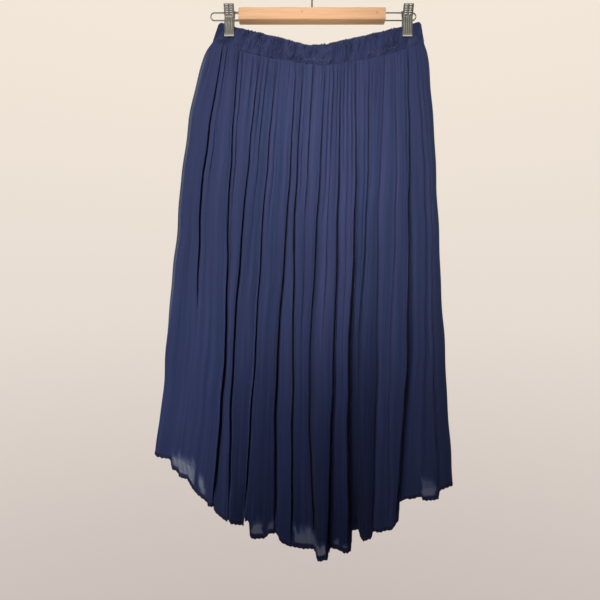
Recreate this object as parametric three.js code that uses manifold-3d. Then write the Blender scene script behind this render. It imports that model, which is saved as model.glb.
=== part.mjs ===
// Pleated midi skirt of sheer navy cloth, hung flat by its waistband from a wooden clip hanger.
// Millimetres, +Z up. The skirt's front faces -Y. The origin is the top of the inside of the hook,
// where the hanger bears on a rail.
import * as THREE from "three";
import { mergeVertices } from "three/addons/utils/BufferGeometryUtils.js";
import Module from "manifold-3d";

const wasm = await Module();
wasm.setup();

// Cloth
const SEAM_GAP = 0.3; // between pieces that are sewn or pressed together
const CLOTH = 1.2; // wall of the sheer cloth
const LINING = { wall: 1, insetShare: 0.018, topDown: 0.8, hemUp: 24, waves: 5, fill: 0.7, ripple: 0.09 };
const LINING_COLUMNS = 25;
const LINING_ROOM = LINING.wall + 2 * SEAM_GAP; // the sheer cloth lies this far out, to clear the lining
const ROOM_EDGE = 4; // and closes to its side seams over this width
const BAND = 2.2; // wall of the elastic waistband
const SHIRR = 0.7; // how far the band's gathers stand out
const BAND_TOP = { leftX: -157, leftZ: -103.5, rightX: 184, rightZ: -102, lowX: 1, sag: 47, bendLeft: 1.05, bendRight: 1.25 };
const BAND_FOOT = { leftX: -168, leftZ: -136, rightX: 190, rightZ: -138, lowX: 8, sag: 44, bendLeft: 1.6, bendRight: 1.6 };
const BAND_BOW = 9; // the band's halves part this far at the middle
const PINCHED_FROM = 0.84; // share of the half width past which the clips press the band flat
const HEM_LEFT_Z = -842;
const HEM_RIGHT_Z = -891;
const HEM_DIP = 114.5; // the curved hem is this much lower at the middle
const HEM_CURVE = 1.5;
const SIDE_ROUND = 5; // how late the folds flatten towards the side seams
const VALLEY = 0.38; // share of a fold that its crease takes on each side

// Sections from the waist seam (down 0) to the hem (down 1): side edges, how far the crests
// stand out, the clear space kept inside, and the height of the fine gathers.
const SECTIONS = [
  { down: 0, left: -168, right: 190, swell: 1.2, hollow: 0, gather: 1.8 },
  { down: 0.03, left: -182, right: 197, swell: 4.5, hollow: 1, gather: 2.8 },
  { down: 0.1, left: -196, right: 202, swell: 9, hollow: 2.5, gather: 3 },
  { down: 0.2, left: -210, right: 207, swell: 14, hollow: 4.5, gather: 2.8 },
  { down: 0.35, left: -223, right: 213, swell: 19, hollow: 6.5, gather: 2.3 },
  { down: 0.5, left: -232, right: 217.5, swell: 22, hollow: 8, gather: 1.9 },
  { down: 0.67, left: -244, right: 224.5, swell: 25, hollow: 9, gather: 1.4 },
  { down: 0.84, left: -252.5, right: 231.5, swell: 27, hollow: 10, gather: 0.9 },
  { down: 1, left: -267, right: 239, swell: 28, hollow: 10, gather: 0.5 },
];

// Creases from left to right. seam, upper, lower and hem are their places across, at 0, 1/3, 2/3
// and the whole way down, and cut is how deep they bite there. The other columns are of the fold
// to the left of the crease: its fine gathers, and at the hem its crest and its extra length.
const STATIONS = [0, 1 / 3, 2 / 3, 1];
const FRONT = [
  { seam: -151, upper: -188, lower: -201, hem: -235, cut: [0.8, 0.8, 0.3, 0.3], gathers: 2, crest: 8, drop: 0 },
  { seam: -124, upper: -138, lower: -147, hem: -165, cut: [0.5, 0.4, 0.8, 1], gathers: 4, crest: 22, drop: 0 },
  { seam: -88, upper: -112, lower: -132, hem: -137, cut: [0.5, 0.5, 0.8, 0.6], gathers: 4, crest: 36, drop: 5 },
  { seam: -59, upper: -80, lower: -95, hem: -112, cut: [0.5, 0.6, 0.7, 0.9], gathers: 4, crest: 30, drop: 6 },
  { seam: -27, upper: -42, lower: -59, hem: -62, cut: [0.5, 0.9, 1, 0.7], gathers: 4, crest: 42, drop: 3 },
  { seam: -15, upper: -29, lower: -32, hem: -34, cut: [0.5, 1, 0.6, 0.6], gathers: 2, crest: 25, drop: 0 },
  { seam: 22, upper: 8, lower: -4, hem: 4, cut: [0.5, 0.7, 0.4, 0.6], gathers: 4, crest: 28, drop: 0 },
  { seam: 49, upper: 43, lower: 36, hem: 26, cut: [0.4, 0.7, 0.7, 0.9], gathers: 4, crest: 55, drop: 6 },
  { seam: 73, upper: 72, lower: 61, hem: 65, cut: [0.5, 0.6, 0.8, 1], gathers: 3, crest: 38, drop: 0 },
  { seam: 96, upper: 90, lower: 76, hem: 81, cut: [0.4, 0.4, 0.5, 0.3], gathers: 3, crest: 10, drop: -8 },
  { seam: 123, upper: 108, lower: 106, hem: 101, cut: [0.3, 0.3, 0.3, 0.4], gathers: 4, crest: 35, drop: 0 },
  { seam: 139, upper: 137, lower: 126, hem: 124, cut: [0.4, 0.4, 0.2, 0.3], gathers: 2, crest: 22, drop: 0 },
  { seam: 162, upper: 163, lower: 155, hem: 148, cut: [0.5, 0.9, 1, 0.9], gathers: 3, crest: 30, drop: 0 },
  { seam: 175, upper: 189, lower: 189, hem: 186, cut: [0.3, 0.3, 0.4, 0.5], gathers: 2, crest: 8, drop: -10 },
  { seam: 183, upper: 200, lower: 203, hem: 213, cut: [0.2, 0.2, 0.3, 0.5], gathers: 2, crest: 20, drop: 0 },
];
const FRONT_LAST = { gathers: 2, crest: 8, drop: 0 };
const BACK = [
  { seam: -152, upper: -199, lower: -216, hem: -200, cut: [0.6, 0.5, 0.4, 0.6], gathers: 2, crest: 10, drop: -16 },
  { seam: -128, upper: -168, lower: -183, hem: -183, cut: [0.4, 0.6, 0.5, 0.7], gathers: 4, crest: 20, drop: -2 },
  { seam: -104, upper: -130, lower: -145, hem: -155, cut: [0.5, 0.4, 0.8, 0.8], gathers: 3, crest: 24, drop: 0 },
  { seam: -74, upper: -92, lower: -110, hem: -124, cut: [0.5, 0.8, 0.9, 1], gathers: 4, crest: 32, drop: 2 },
  { seam: -47, upper: -63, lower: -75, hem: -86, cut: [0.4, 0.5, 0.5, 0.6], gathers: 3, crest: 22, drop: -3 },
  { seam: -20, upper: -30, lower: -37, hem: -46, cut: [0.5, 0.7, 1, 0.9], gathers: 3, crest: 30, drop: 0 },
  { seam: 0, upper: -6, lower: -15, hem: -27, cut: [0.4, 0.6, 0.4, 0.7], gathers: 3, crest: 18, drop: -8 },
  { seam: 30, upper: 24, lower: 18, hem: 9, cut: [0.5, 0.9, 0.8, 1], gathers: 4, crest: 34, drop: 4 },
  { seam: 57, upper: 53, lower: 48, hem: 42, cut: [0.5, 0.5, 0.6, 0.6], gathers: 4, crest: 24, drop: -4 },
  { seam: 80, upper: 82, lower: 79, hem: 76, cut: [0.4, 0.7, 0.9, 0.9], gathers: 3, crest: 34, drop: 3 },
  { seam: 105, upper: 113, lower: 112, hem: 109, cut: [0.4, 0.4, 0.4, 0.7], gathers: 3, crest: 20, drop: 0 },
  { seam: 127, upper: 137, lower: 141, hem: 145, cut: [0.5, 0.8, 0.8, 0.9], gathers: 3, crest: 30, drop: 0 },
  { seam: 150, upper: 164, lower: 168, hem: 174, cut: [0.4, 0.4, 0.6, 0.6], gathers: 3, crest: 24, drop: -3 },
  { seam: 168, upper: 184, lower: 192, hem: 203, cut: [0.3, 0.4, 0.4, 0.5], gathers: 3, crest: 20, drop: -4 },
  { seam: 180, upper: 199, lower: 211, hem: 222, cut: [0.2, 0.3, 0.3, 0.4], gathers: 2, crest: 14, drop: 0 },
];
const BACK_LAST = { gathers: 2, crest: 8, drop: 0 };

// Hanger
const BAR = { length: 248, height: 21, depth: 17.5, topZ: -82, round: 3 };
const WIRE_R = 1.1;
const WIRE_LEGS = 13; // between a loop's two legs
const WIRE_Z = -93.5; // middle of the loops
const WIRE_IN_BAR = 14;
const LOOP_LEFT_X = -173;
const LOOP_RIGHT_X = 177.5;
const HOOK_WIRE_R = 1.5;
const HOOK_INSIDE_R = 20;
const HOOK_IN_BAR = 12;
const BORE_CLEAR = 0.3;
const CLIP_X = [-140, 162];
const CLIP_WIDTH = 17;
const CLIP_SHEET = 1.2;
const CLIP_RIB = 0.5;
// A jaw's inside face, from its finger tab down to its lip: distance from the middle plane, and
// height from the middle of the wire loop.
const JAW_PROFILE = [
  { out: 10.2, up: 15.5 },
  { out: 3.9, up: -1 },
  { out: 5.2, up: -15 },
  { out: 3.4, up: -30 },
  { out: 3.4, up: -32.5 },
  { out: 4.8, up: -34.5 },
];
const SPRING = { halfDepth: 3.6, halfHeight: 9.4, sheet: 1.1, width: 11 };
const COLLAR = { r: 1.8, length: 1.6, fromBar: [1.4, 4.6] };

const CLOTH_LOOK = { color: 0x2c3560, roughness: 0.85, metalness: 0 };
const LINING_LOOK = { color: 0x1b2040, roughness: 0.6, metalness: 0 };
const WOOD_LOOK = { color: 0xe2b184, roughness: 0.55, metalness: 0 };
const STEEL_LOOK = { color: 0x9a9a94, roughness: 0.35, metalness: 0.9 };

const part = new THREE.Group();

function add(name, geometry, look) {
  const mesh = new THREE.Mesh(geometry, new THREE.MeshStandardMaterial(look));
  mesh.name = name;
  part.add(mesh);
}

// A smooth curve through a column of numbers, one for each station.
function smooth(stations, values, at) {
  const last = stations.length - 1;
  let i = 0;
  while (i < last - 1 && at > stations[i + 1]) i += 1;
  const slope = (k) => {
    const a = Math.max(k - 1, 0);
    const b = Math.min(k + 1, last);
    return (values[b] - values[a]) / (stations[b] - stations[a]);
  };
  const step = stations[i + 1] - stations[i];
  const f = THREE.MathUtils.clamp((at - stations[i]) / step, 0, 1);
  const g = 1 - f;
  return (
    values[i] * (1 + 2 * f) * g * g +
    values[i + 1] * (3 - 2 * f) * f * f +
    step * (slope(i) * f * g * g - slope(i + 1) * f * f * g)
  );
}

function section(column, down) {
  return smooth(SECTIONS.map((s) => s.down), SECTIONS.map((s) => s[column]), down);
}

// Share of the half width at x, from -1 at the left edge through 0 at lowX to 1 at the right.
function across(edge, x) {
  return x < edge.lowX ? (x - edge.lowX) / (edge.lowX - edge.leftX) : (x - edge.lowX) / (edge.rightX - edge.lowX);
}

// The waistband hangs between the clips: its top edge in a shallow V, its foot in a U.
function bandZ(edge, x) {
  const s = THREE.MathUtils.clamp(across(edge, x), -1, 1);
  const end = s < 0 ? edge.leftZ : edge.rightZ;
  const bend = s < 0 ? edge.bendLeft : edge.bendRight;
  return end - edge.sag * (1 - Math.pow(s * s + 0.0004, bend / 2));
}

function bow(x) {
  const s = across(BAND_FOOT, x) / PINCHED_FROM;
  return BAND_BOW * Math.pow(Math.max(0, 1 - s * s), 1.2);
}

function hemZ(x) {
  const left = section("left", 1);
  const right = section("right", 1);
  const s = (2 * x - left - right) / (right - left);
  const level = THREE.MathUtils.lerp(HEM_LEFT_Z, HEM_RIGHT_Z, (s + 1) / 2);
  return level - HEM_DIP * Math.pow(Math.max(0, 1 - s * s), HEM_CURVE);
}

// The folds between creases, each with the crease at its left (a) and at its right (b).
function foldsOf(creases, last) {
  const edge = (share) => ({ at: () => share, cut: [0, 0, 0, 0] });
  const lines = creases.map((c) => ({
    at: (down) => {
      const shares = [c.seam, c.upper, c.lower, c.hem].map((x, i) => {
        const left = section("left", STATIONS[i]);
        return (x - left) / (section("right", STATIONS[i]) - left);
      });
      return smooth(STATIONS, shares, down);
    },
    cut: c.cut,
  }));
  const bounds = [edge(0), ...lines, edge(1)];
  const rows = [...creases, last];
  return rows.map((row, i) => ({
    a: bounds[i],
    b: bounds[i + 1],
    gathers: row.gathers,
    crest: row.crest,
    drop: row.drop,
    crestA: (row.crest + rows[Math.max(i - 1, 0)].crest) / 2,
    crestB: (row.crest + rows[Math.min(i + 1, rows.length - 1)].crest) / 2,
  }));
}

// The cloth lies flat at its side seams and fills out between them.
function flatness(share) {
  return Math.pow(Math.max(0, 1 - Math.pow(Math.abs(2 * share - 1), SIDE_ROUND)), 0.6);
}

// Where a share across the seam or the hem lies.
function xAt(share, down) {
  return THREE.MathUtils.lerp(section("left", down), section("right", down), share);
}

// One point of a panel's outside face: fold f, share v across the fold, share down the panel,
// and ridge, 1 on a fine gather's crest and 0 between gathers. Its y counts outwards, and its
// fourth number is the least y that the inside face may have.
function panelPoint(f, v, down, ridge) {
  const share = THREE.MathUtils.lerp(f.a.at(down), f.b.at(down), v);
  const x = xAt(share, down);
  const near = (w) => Math.pow(Math.max(0, 1 - w / VALLEY), 2);
  const biteA = near(v) * smooth(STATIONS, f.a.cut, down);
  const biteB = near(1 - v) * smooth(STATIONS, f.b.cut, down);
  const crestHere = f.crest + (f.crestA - f.crest) * near(v) + (f.crestB - f.crest) * near(1 - v);
  const swell = THREE.MathUtils.lerp(section("swell", down), crestHere, down * down);
  const hollow = Math.min(section("hollow", down), swell);
  const flat = flatness(share);
  const rise = hollow + (swell - hollow) * (1 - biteA - biteB) + section("gather", down) * ridge;
  const seamX = xAt(share, 0);
  const fromEdge = Math.min(x - section("left", down), section("right", down) - x);
  const room = LINING_ROOM * Math.min(1, fromEdge / ROOM_EDGE);
  const base = SEAM_GAP / 2 + room + bow(seamX) * (1 - down) * (1 - down);
  const topZ = bandZ(BAND_FOOT, seamX) - SEAM_GAP;
  const hemX = xAt(THREE.MathUtils.lerp(f.a.at(1), f.b.at(1), v), 1);
  const footZ = hemZ(hemX) - f.drop * (1 - near(v)) * (1 - near(1 - v));
  const z = THREE.MathUtils.lerp(topZ, footZ, down);
  return [x, base + CLOTH + flat * rise, z, base + flat * hollow];
}

// Shares across a panel, one for each side and crest of its fine gathers.
function columnsOf(folds) {
  const columns = [];
  folds.forEach((f, i) => {
    for (let k = 0; k < 2 * f.gathers; k += 1) columns.push({ f, v: k / (2 * f.gathers), ridge: k % 2 });
    if (i === folds.length - 1) columns.push({ f, v: 1, ridge: 0 });
  });
  return columns;
}

// The inside face of a wall: each section of the outside moved in by the wall's thickness.
function movedIn(row, wall) {
  return row.map(([x, y, z, least], i) => {
    const [ax, ay] = row[Math.max(i - 1, 0)];
    const [bx, by] = row[Math.min(i + 1, row.length - 1)];
    const before = new THREE.Vector2(x - ax, y - ay).normalize();
    const after = new THREE.Vector2(bx - x, by - y).normalize();
    const run = before.clone().add(after).normalize();
    const mitre = Math.min(1.8, 1 / Math.max(0.3, run.dot(after)));
    const atEdge = i === 0 || i === row.length - 1;
    if (atEdge) return [x, y - wall, z];
    return [x + run.y * wall * mitre, Math.max(y - run.x * wall * mitre, least), z];
  });
}

// A closed wall between two grids of points with the same rows and columns.
// side is -1 for a wall that faces -Y, the front, and 1 for the back.
function wall(outside, inside, side) {
  const rows = outside.length;
  const columns = outside[0].length;
  const points = [...outside.flat(), ...inside.flat()].flatMap(([x, y, z]) => [x, side * y, z]);
  const out = (r, c) => r * columns + c;
  const inn = (r, c) => rows * columns + r * columns + c;
  const faces = [];
  const quad = (a, b, c, d) => faces.push(...(side < 0 ? [a, b, c, a, c, d] : [c, b, a, d, c, a]));
  for (let r = 0; r < rows - 1; r += 1) {
    for (let c = 0; c < columns - 1; c += 1) {
      quad(out(r, c), out(r + 1, c), out(r + 1, c + 1), out(r, c + 1));
      quad(inn(r, c + 1), inn(r + 1, c + 1), inn(r + 1, c), inn(r, c));
    }
    quad(inn(r, 0), inn(r + 1, 0), out(r + 1, 0), out(r, 0));
    quad(out(r, columns - 1), out(r + 1, columns - 1), inn(r + 1, columns - 1), inn(r, columns - 1));
  }
  for (let c = 0; c < columns - 1; c += 1) {
    quad(inn(0, c), out(0, c), out(0, c + 1), inn(0, c + 1));
    quad(out(rows - 1, c), inn(rows - 1, c), inn(rows - 1, c + 1), out(rows - 1, c + 1));
  }
  const geometry = new THREE.BufferGeometry();
  geometry.setAttribute("position", new THREE.Float32BufferAttribute(points, 3));
  geometry.setIndex(faces);
  return geometry;
}

function panel(folds, side) {
  const columns = columnsOf(folds);
  const outside = SECTIONS.map((s) => columns.map((c) => panelPoint(c.f, c.v, s.down, c.ridge)));
  return wall(outside, outside.map((row) => movedIn(row, CLOTH)), side);
}

// Half of the plain lining, which waves gently inside the panel and ends above its hem.
function lining(side) {
  const last = LINING_COLUMNS - 1;
  const columns = [...Array(last + 1).keys()].map((i) => i / last);
  const grid = (depth) =>
    SECTIONS.map(({ down: panelDown }) =>
      columns.map((v) => {
        const share = THREE.MathUtils.lerp(LINING.insetShare, 1 - LINING.insetShare, v);
        const seamX = xAt(share, 0);
        const topZ = bandZ(BAND_FOOT, seamX) - LINING.topDown;
        const footZ = hemZ(xAt(share, 1));
        const down = Math.min(panelDown, 1 - LINING.hemUp / (topZ - footZ));
        const wave = LINING.fill + LINING.ripple * Math.sin(2 * Math.PI * LINING.waves * v);
        const sag = bow(seamX) * (1 - down) * (1 - down);
        const y = SEAM_GAP / 2 + sag + flatness(share) * section("hollow", down) * wave;
        return [xAt(share, down), y + depth, THREE.MathUtils.lerp(topZ, footZ, down)];
      }),
    );
  return wall(grid(LINING.wall), grid(0), side);
}

// Half of the waistband, its fine gathers in line with the panel's below it.
function band(folds, side) {
  const columns = columnsOf(folds);
  const rows = [0, 0.5, 1];
  const grid = (depth) =>
    rows.map((down) =>
      columns.map((c) => {
        const share = THREE.MathUtils.lerp(c.f.a.at(0), c.f.b.at(0), c.v);
        const topX = THREE.MathUtils.lerp(BAND_TOP.leftX, BAND_TOP.rightX, share);
        const footX = THREE.MathUtils.lerp(BAND_FOOT.leftX, BAND_FOOT.rightX, share);
        const x = THREE.MathUtils.lerp(topX, footX, down);
        const z = THREE.MathUtils.lerp(bandZ(BAND_TOP, topX), bandZ(BAND_FOOT, footX), down);
        const free = THREE.MathUtils.clamp(bow(footX), 0, 1);
        const relief = depth > 0 ? SHIRR * free * c.ridge * (down === 0.5 ? 1 : 0.6) : 0;
        return [x, SEAM_GAP / 2 + bow(footX) + depth + relief, z];
      }),
    );
  return wall(grid(BAND), grid(0), side);
}

// manifold-3d only joins and cuts the hanger's pieces.
function solid(geometry) {
  const bare = geometry.clone();
  bare.deleteAttribute("normal");
  bare.deleteAttribute("uv");
  const merged = mergeVertices(bare, 1e-3);
  return new wasm.Manifold(
    new wasm.Mesh({
      numProp: 3,
      vertProperties: new Float32Array(merged.attributes.position.array),
      triVerts: new Uint32Array(merged.index.array),
    }),
  );
}

function geometryOf(manifold) {
  const mesh = manifold.getMesh();
  const geometry = new THREE.BufferGeometry();
  geometry.setAttribute("position", new THREE.Float32BufferAttribute(mesh.vertProperties, 3));
  geometry.setIndex([...mesh.triVerts]);
  return geometry;
}

function roundSection(radius, sides) {
  const points = [];
  for (let i = 0; i < sides; i += 1) {
    const a = (2 * Math.PI * i) / sides;
    points.push(new THREE.Vector2(radius * Math.cos(a), radius * Math.sin(a)));
  }
  return new THREE.Shape(points);
}

function rod(points, radius, steps) {
  const path = new THREE.CatmullRomCurve3(points.map((p) => new THREE.Vector3(...p)), false, "centripetal");
  return new THREE.ExtrudeGeometry(roundSection(radius, 8), { steps, extrudePath: path });
}

function cylinder(radius, length, axis, x, y, z) {
  const geometry = new THREE.CylinderGeometry(radius, radius, length, 12);
  if (axis === "x") geometry.rotateZ(Math.PI / 2);
  if (axis === "z") geometry.rotateX(Math.PI / 2);
  return geometry.translate(x, y, z);
}

const LEG_UPS = [-WIRE_LEGS / 2, WIRE_LEGS / 2];

// The wooden bar, drilled for the hook and for the four wire ends.
function bar() {
  const hy = BAR.depth / 2;
  const hz = BAR.height / 2;
  const r = BAR.round;
  const outline = new THREE.Shape();
  outline.moveTo(-hy + r, -hz);
  outline.lineTo(hy - r, -hz).quadraticCurveTo(hy, -hz, hy, -hz + r);
  outline.lineTo(hy, hz - r).quadraticCurveTo(hy, hz, hy - r, hz);
  outline.lineTo(-hy + r, hz).quadraticCurveTo(-hy, hz, -hy, hz - r);
  outline.lineTo(-hy, -hz + r).quadraticCurveTo(-hy, -hz, -hy + r, -hz);
  const block = new THREE.ExtrudeGeometry(outline, { depth: BAR.length, bevelEnabled: false, curveSegments: 3 });
  block.translate(0, 0, -BAR.length / 2);
  // The outline's x and y become the bar's depth and height.
  block.applyMatrix4(new THREE.Matrix4().set(0, 0, 1, 0, 1, 0, 0, 0, 0, 1, 0, BAR.topZ - hz, 0, 0, 0, 1));
  let body = solid(block);
  const hookBore = HOOK_IN_BAR + 1;
  body = body.subtract(
    solid(cylinder(HOOK_WIRE_R + BORE_CLEAR, 2 * hookBore, "z", 0, 0, BAR.topZ)),
  );
  for (const end of [-1, 1]) {
    for (const up of LEG_UPS) {
      const bore = cylinder(WIRE_R + BORE_CLEAR, 2 * (WIRE_IN_BAR + 1), "x", (end * BAR.length) / 2, 0, WIRE_Z + up);
      body = body.subtract(solid(bore));
    }
  }
  return geometryOf(body);
}

// A wire loop out of the bar's end, with a round return.
function loop(endX) {
  const dir = Math.sign(endX);
  const r = WIRE_LEGS / 2;
  const turnX = endX - dir * (r + WIRE_R);
  const rootX = dir * (BAR.length / 2 - WIRE_IN_BAR);
  const points = [];
  for (let i = 0; i <= 4; i += 1) points.push([THREE.MathUtils.lerp(rootX, turnX, i / 4), 0, WIRE_Z + r]);
  for (let i = 1; i <= 8; i += 1) {
    const a = Math.PI / 2 - (Math.PI * i) / 8;
    points.push([turnX + dir * r * Math.cos(a), 0, WIRE_Z + r * Math.sin(a)]);
  }
  for (let i = 1; i <= 4; i += 1) points.push([THREE.MathUtils.lerp(turnX, rootX, i / 4), 0, WIRE_Z - r]);
  return rod(points, WIRE_R, 26);
}

// The left loop also has small stop collars beside the bar.
function loopWithCollars(endX) {
  const dir = Math.sign(endX);
  let body = solid(loop(endX));
  for (const up of LEG_UPS) {
    for (const away of COLLAR.fromBar) {
      const x = dir * (BAR.length / 2 + away);
      body = body.add(solid(cylinder(COLLAR.r, COLLAR.length, "x", x, 0, WIRE_Z + up)));
    }
  }
  return geometryOf(body);
}

// The hook: a stem out of the bar, a side bend, and a round crook whose inside top is the origin.
function hook() {
  const r = HOOK_INSIDE_R + HOOK_WIRE_R;
  const stemTop = -3.2 * HOOK_INSIDE_R;
  const points = [
    [0, 0, BAR.topZ - HOOK_IN_BAR],
    [0, 0, (BAR.topZ + stemTop) / 2],
    [0, 0, stemTop],
    [0.07 * r, 0, -2.6 * r],
    [0.3 * r, 0, -2.07 * r],
  ];
  for (let a = -50; a <= 205; a += 15) {
    const turn = THREE.MathUtils.degToRad(a);
    points.push([r * Math.cos(turn), 0, -HOOK_INSIDE_R + r * Math.sin(turn)]);
  }
  return rod(points, HOOK_WIRE_R, 44);
}

// A slab of the jaw's profile, from inner to outer distance off its inside face, width wide.
function jawSlab(profile, inner, outer, width, x) {
  const line = (off) => profile.map((p) => new THREE.Vector2(p.out + off, p.up));
  const outline = new THREE.Shape([...line(inner), ...line(outer).reverse()]);
  const slab = new THREE.ExtrudeGeometry(outline, { depth: width, bevelEnabled: false });
  slab.translate(0, 0, -width / 2);
  // The outline's x and y become the distance out and the height.
  slab.applyMatrix4(new THREE.Matrix4().set(0, 0, 1, x, 1, 0, 0, 0, 0, 1, 0, WIRE_Z, 0, 0, 0, 1));
  return solid(slab);
}

// One pressed steel jaw: a bent plate with upright ribs and two columns of grip ridges.
function jaw(x, side) {
  let body = jawSlab(JAW_PROFILE, 0, CLIP_SHEET, CLIP_WIDTH, x);
  const below = JAW_PROFILE.slice(1, 5);
  for (const off of [-4.6, 0, 4.6]) {
    body = body.add(jawSlab(below, CLIP_SHEET / 2, CLIP_SHEET + CLIP_RIB, 1.8, x + off));
  }
  const [top, bend] = JAW_PROFILE;
  for (let row = 0; row < 4; row += 1) {
    const at = (f) => ({
      out: THREE.MathUtils.lerp(top.out, bend.out, f),
      up: THREE.MathUtils.lerp(top.up, bend.up, f),
    });
    const from = 0.08 + 0.19 * row;
    for (const off of [-3.9, 3.9]) {
      body = body.add(jawSlab([at(from), at(from + 0.09)], CLIP_SHEET / 2, CLIP_SHEET + CLIP_RIB, 6, x + off));
    }
  }
  return geometryOf(side < 0 ? body.mirror([0, 1, 0]) : body);
}

// The flat spring round the wire loop, which the two jaws rock on.
function spring(x) {
  const oval = (hy, hz) => {
    const points = [];
    for (let i = 0; i < 16; i += 1) {
      const a = (2 * Math.PI * i) / 16;
      points.push(new THREE.Vector2(hy * Math.cos(a), hz * Math.sin(a)));
    }
    return points;
  };
  const outline = new THREE.Shape(oval(SPRING.halfDepth, SPRING.halfHeight));
  const hole = oval(SPRING.halfDepth - SPRING.sheet, SPRING.halfHeight - SPRING.sheet).reverse();
  outline.holes.push(new THREE.Path(hole));
  const sleeve = new THREE.ExtrudeGeometry(outline, { depth: SPRING.width, bevelEnabled: false });
  sleeve.translate(0, 0, -SPRING.width / 2);
  sleeve.applyMatrix4(new THREE.Matrix4().set(0, 0, 1, x, 1, 0, 0, 0, 0, 1, 0, WIRE_Z, 0, 0, 0, 1));
  return sleeve;
}

const frontFolds = foldsOf(FRONT, FRONT_LAST);
const backFolds = foldsOf(BACK, BACK_LAST);
add("front_panel", panel(frontFolds, -1), CLOTH_LOOK);
add("back_panel", panel(backFolds, 1), CLOTH_LOOK);
add("lining_front", lining(-1), LINING_LOOK);
add("lining_back", lining(1), LINING_LOOK);
add("waistband_front", band(frontFolds, -1), CLOTH_LOOK);
add("waistband_back", band(backFolds, 1), CLOTH_LOOK);
add("hanger_bar", bar(), WOOD_LOOK);
add("hanger_hook", hook(), STEEL_LOOK);
add("wire_left", loopWithCollars(LOOP_LEFT_X), STEEL_LOOK);
add("wire_right", loop(LOOP_RIGHT_X), STEEL_LOOK);
["left", "right"].forEach((name, i) => {
  add(`clip_${name}_front`, jaw(CLIP_X[i], -1), STEEL_LOOK);
  add(`clip_${name}_back`, jaw(CLIP_X[i], 1), STEEL_LOOK);
  add(`clip_${name}_spring`, spring(CLIP_X[i]), STEEL_LOOK);
});

export default part;
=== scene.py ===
# %% [markdown]
# # A pleated midi skirt on a clip hanger
# The real thing is two panels of thin, see-through navy cloth, gathered onto an elastic waistband
# over a plain lining, and hung flat from a wooden hanger with two steel clips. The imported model
# gives the sizes and places. This script puts the finished surfaces on them, one piece at a time.

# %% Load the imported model
import math
from collections import namedtuple

import bmesh
import bpy
import numpy as np
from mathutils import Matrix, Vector


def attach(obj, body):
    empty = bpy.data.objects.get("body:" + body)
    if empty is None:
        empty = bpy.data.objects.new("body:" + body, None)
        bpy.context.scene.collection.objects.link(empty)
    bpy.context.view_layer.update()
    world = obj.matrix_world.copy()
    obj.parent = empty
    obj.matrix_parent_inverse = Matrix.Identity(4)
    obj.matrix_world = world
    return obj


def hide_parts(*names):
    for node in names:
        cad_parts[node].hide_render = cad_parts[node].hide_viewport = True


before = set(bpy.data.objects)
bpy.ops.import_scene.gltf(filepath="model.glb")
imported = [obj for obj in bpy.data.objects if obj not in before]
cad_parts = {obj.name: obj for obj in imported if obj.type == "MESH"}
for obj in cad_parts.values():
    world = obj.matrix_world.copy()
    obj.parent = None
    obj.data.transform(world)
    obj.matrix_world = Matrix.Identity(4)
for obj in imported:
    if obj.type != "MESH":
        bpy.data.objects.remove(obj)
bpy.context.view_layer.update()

MM = 0.001
scene = bpy.context.scene
print("nodes in the frame:", len(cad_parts))

# %% [markdown]
# ## The camera
# The skirt was seen from close by with a wide lens: the underside of the wooden bar shows, and the
# deep folds at the hem look lower than the shallow ones. A camera 77 cm away, level with the
# middle of the skirt, gives both. The frame is square, so the angle of view is the same each way.

# %% Place the camera
VIEW_WIDTH = 1.020
CAMERA_AT = Vector((-0.0204, -0.770, -0.5751))


def place_camera():
    lens = bpy.data.cameras.new("camera")
    lens.sensor_fit = "HORIZONTAL"
    lens.angle = 2 * math.atan(VIEW_WIDTH / 2 / -CAMERA_AT.y)
    lens.clip_start = 0.01
    camera = bpy.data.objects.new("camera", lens)
    camera.location = CAMERA_AT
    camera.rotation_euler = (math.pi / 2, 0, 0)
    scene.collection.objects.link(camera)
    scene.camera = camera


place_camera()
print("angle of view:", round(math.degrees(scene.camera.data.angle), 1))

# %% [markdown]
# ## Node trees
# The background, the materials and the stitches are all trees of nodes. One helper makes a node,
# sets its options and fills its inputs, each with a value or with what another node puts out. The
# helpers after it are the few kinds of node that come up again and again.

# %% Helpers for node trees
def fill(tree, made, inputs):
    for slot, value in inputs.items():
        if isinstance(value, bpy.types.NodeSocket):
            tree.links.new(value, made.inputs[slot])
        else:
            made.inputs[slot].default_value = value


def node(tree, kind, inputs=None, **options):
    made = tree.nodes.new(kind)
    for key, value in options.items():
        setattr(made, key, value)
    fill(tree, made, inputs or {})
    return made


def maths(tree, operation, *values):
    return node(tree, "ShaderNodeMath", dict(enumerate(values)), operation=operation).outputs[0]


def scaled(tree, vector, factors):
    return node(tree, "ShaderNodeVectorMath", {0: vector, 1: factors}, operation="MULTIPLY").outputs[0]


def mapped(tree, value, low, high, **options):
    # 0 where the value is low, 1 where it is high, and even between them.
    inputs = {"Value": value, "From Min": low, "From Max": high}
    return node(tree, "ShaderNodeMapRange", inputs, **options).outputs["Result"]


def noise(tree, vector, scale, detail, **more):
    inputs = {"Vector": vector, "Scale": scale, "Detail": detail, **more}
    return node(tree, "ShaderNodeTexNoise", inputs).outputs["Fac"]


def mix_colour(tree, factor, first, second, how="MIX"):
    # A colour is three numbers or what another node puts out.
    a, b = ((*c, 1) if isinstance(c, tuple) else c for c in (first, second))
    mix = node(tree, "ShaderNodeMix", {"Factor": factor, 6: a, 7: b}, data_type="RGBA", blend_type=how)
    return mix.outputs[2]


# %% [markdown]
# ## Light, background and floor
# Two soft lamps hang high in front, side by side, with beams narrow enough that the light falls
# off towards the hem. A small one lights the left side, one from below the bar, and one behind
# keeps the back readable. The background is a pale, warm haze which the camera sees at full
# strength, while it lights the cloth only weakly: that keeps the creases deep. The floor is a pale
# disc at the height where a floor would be under a hanging skirt.

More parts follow.
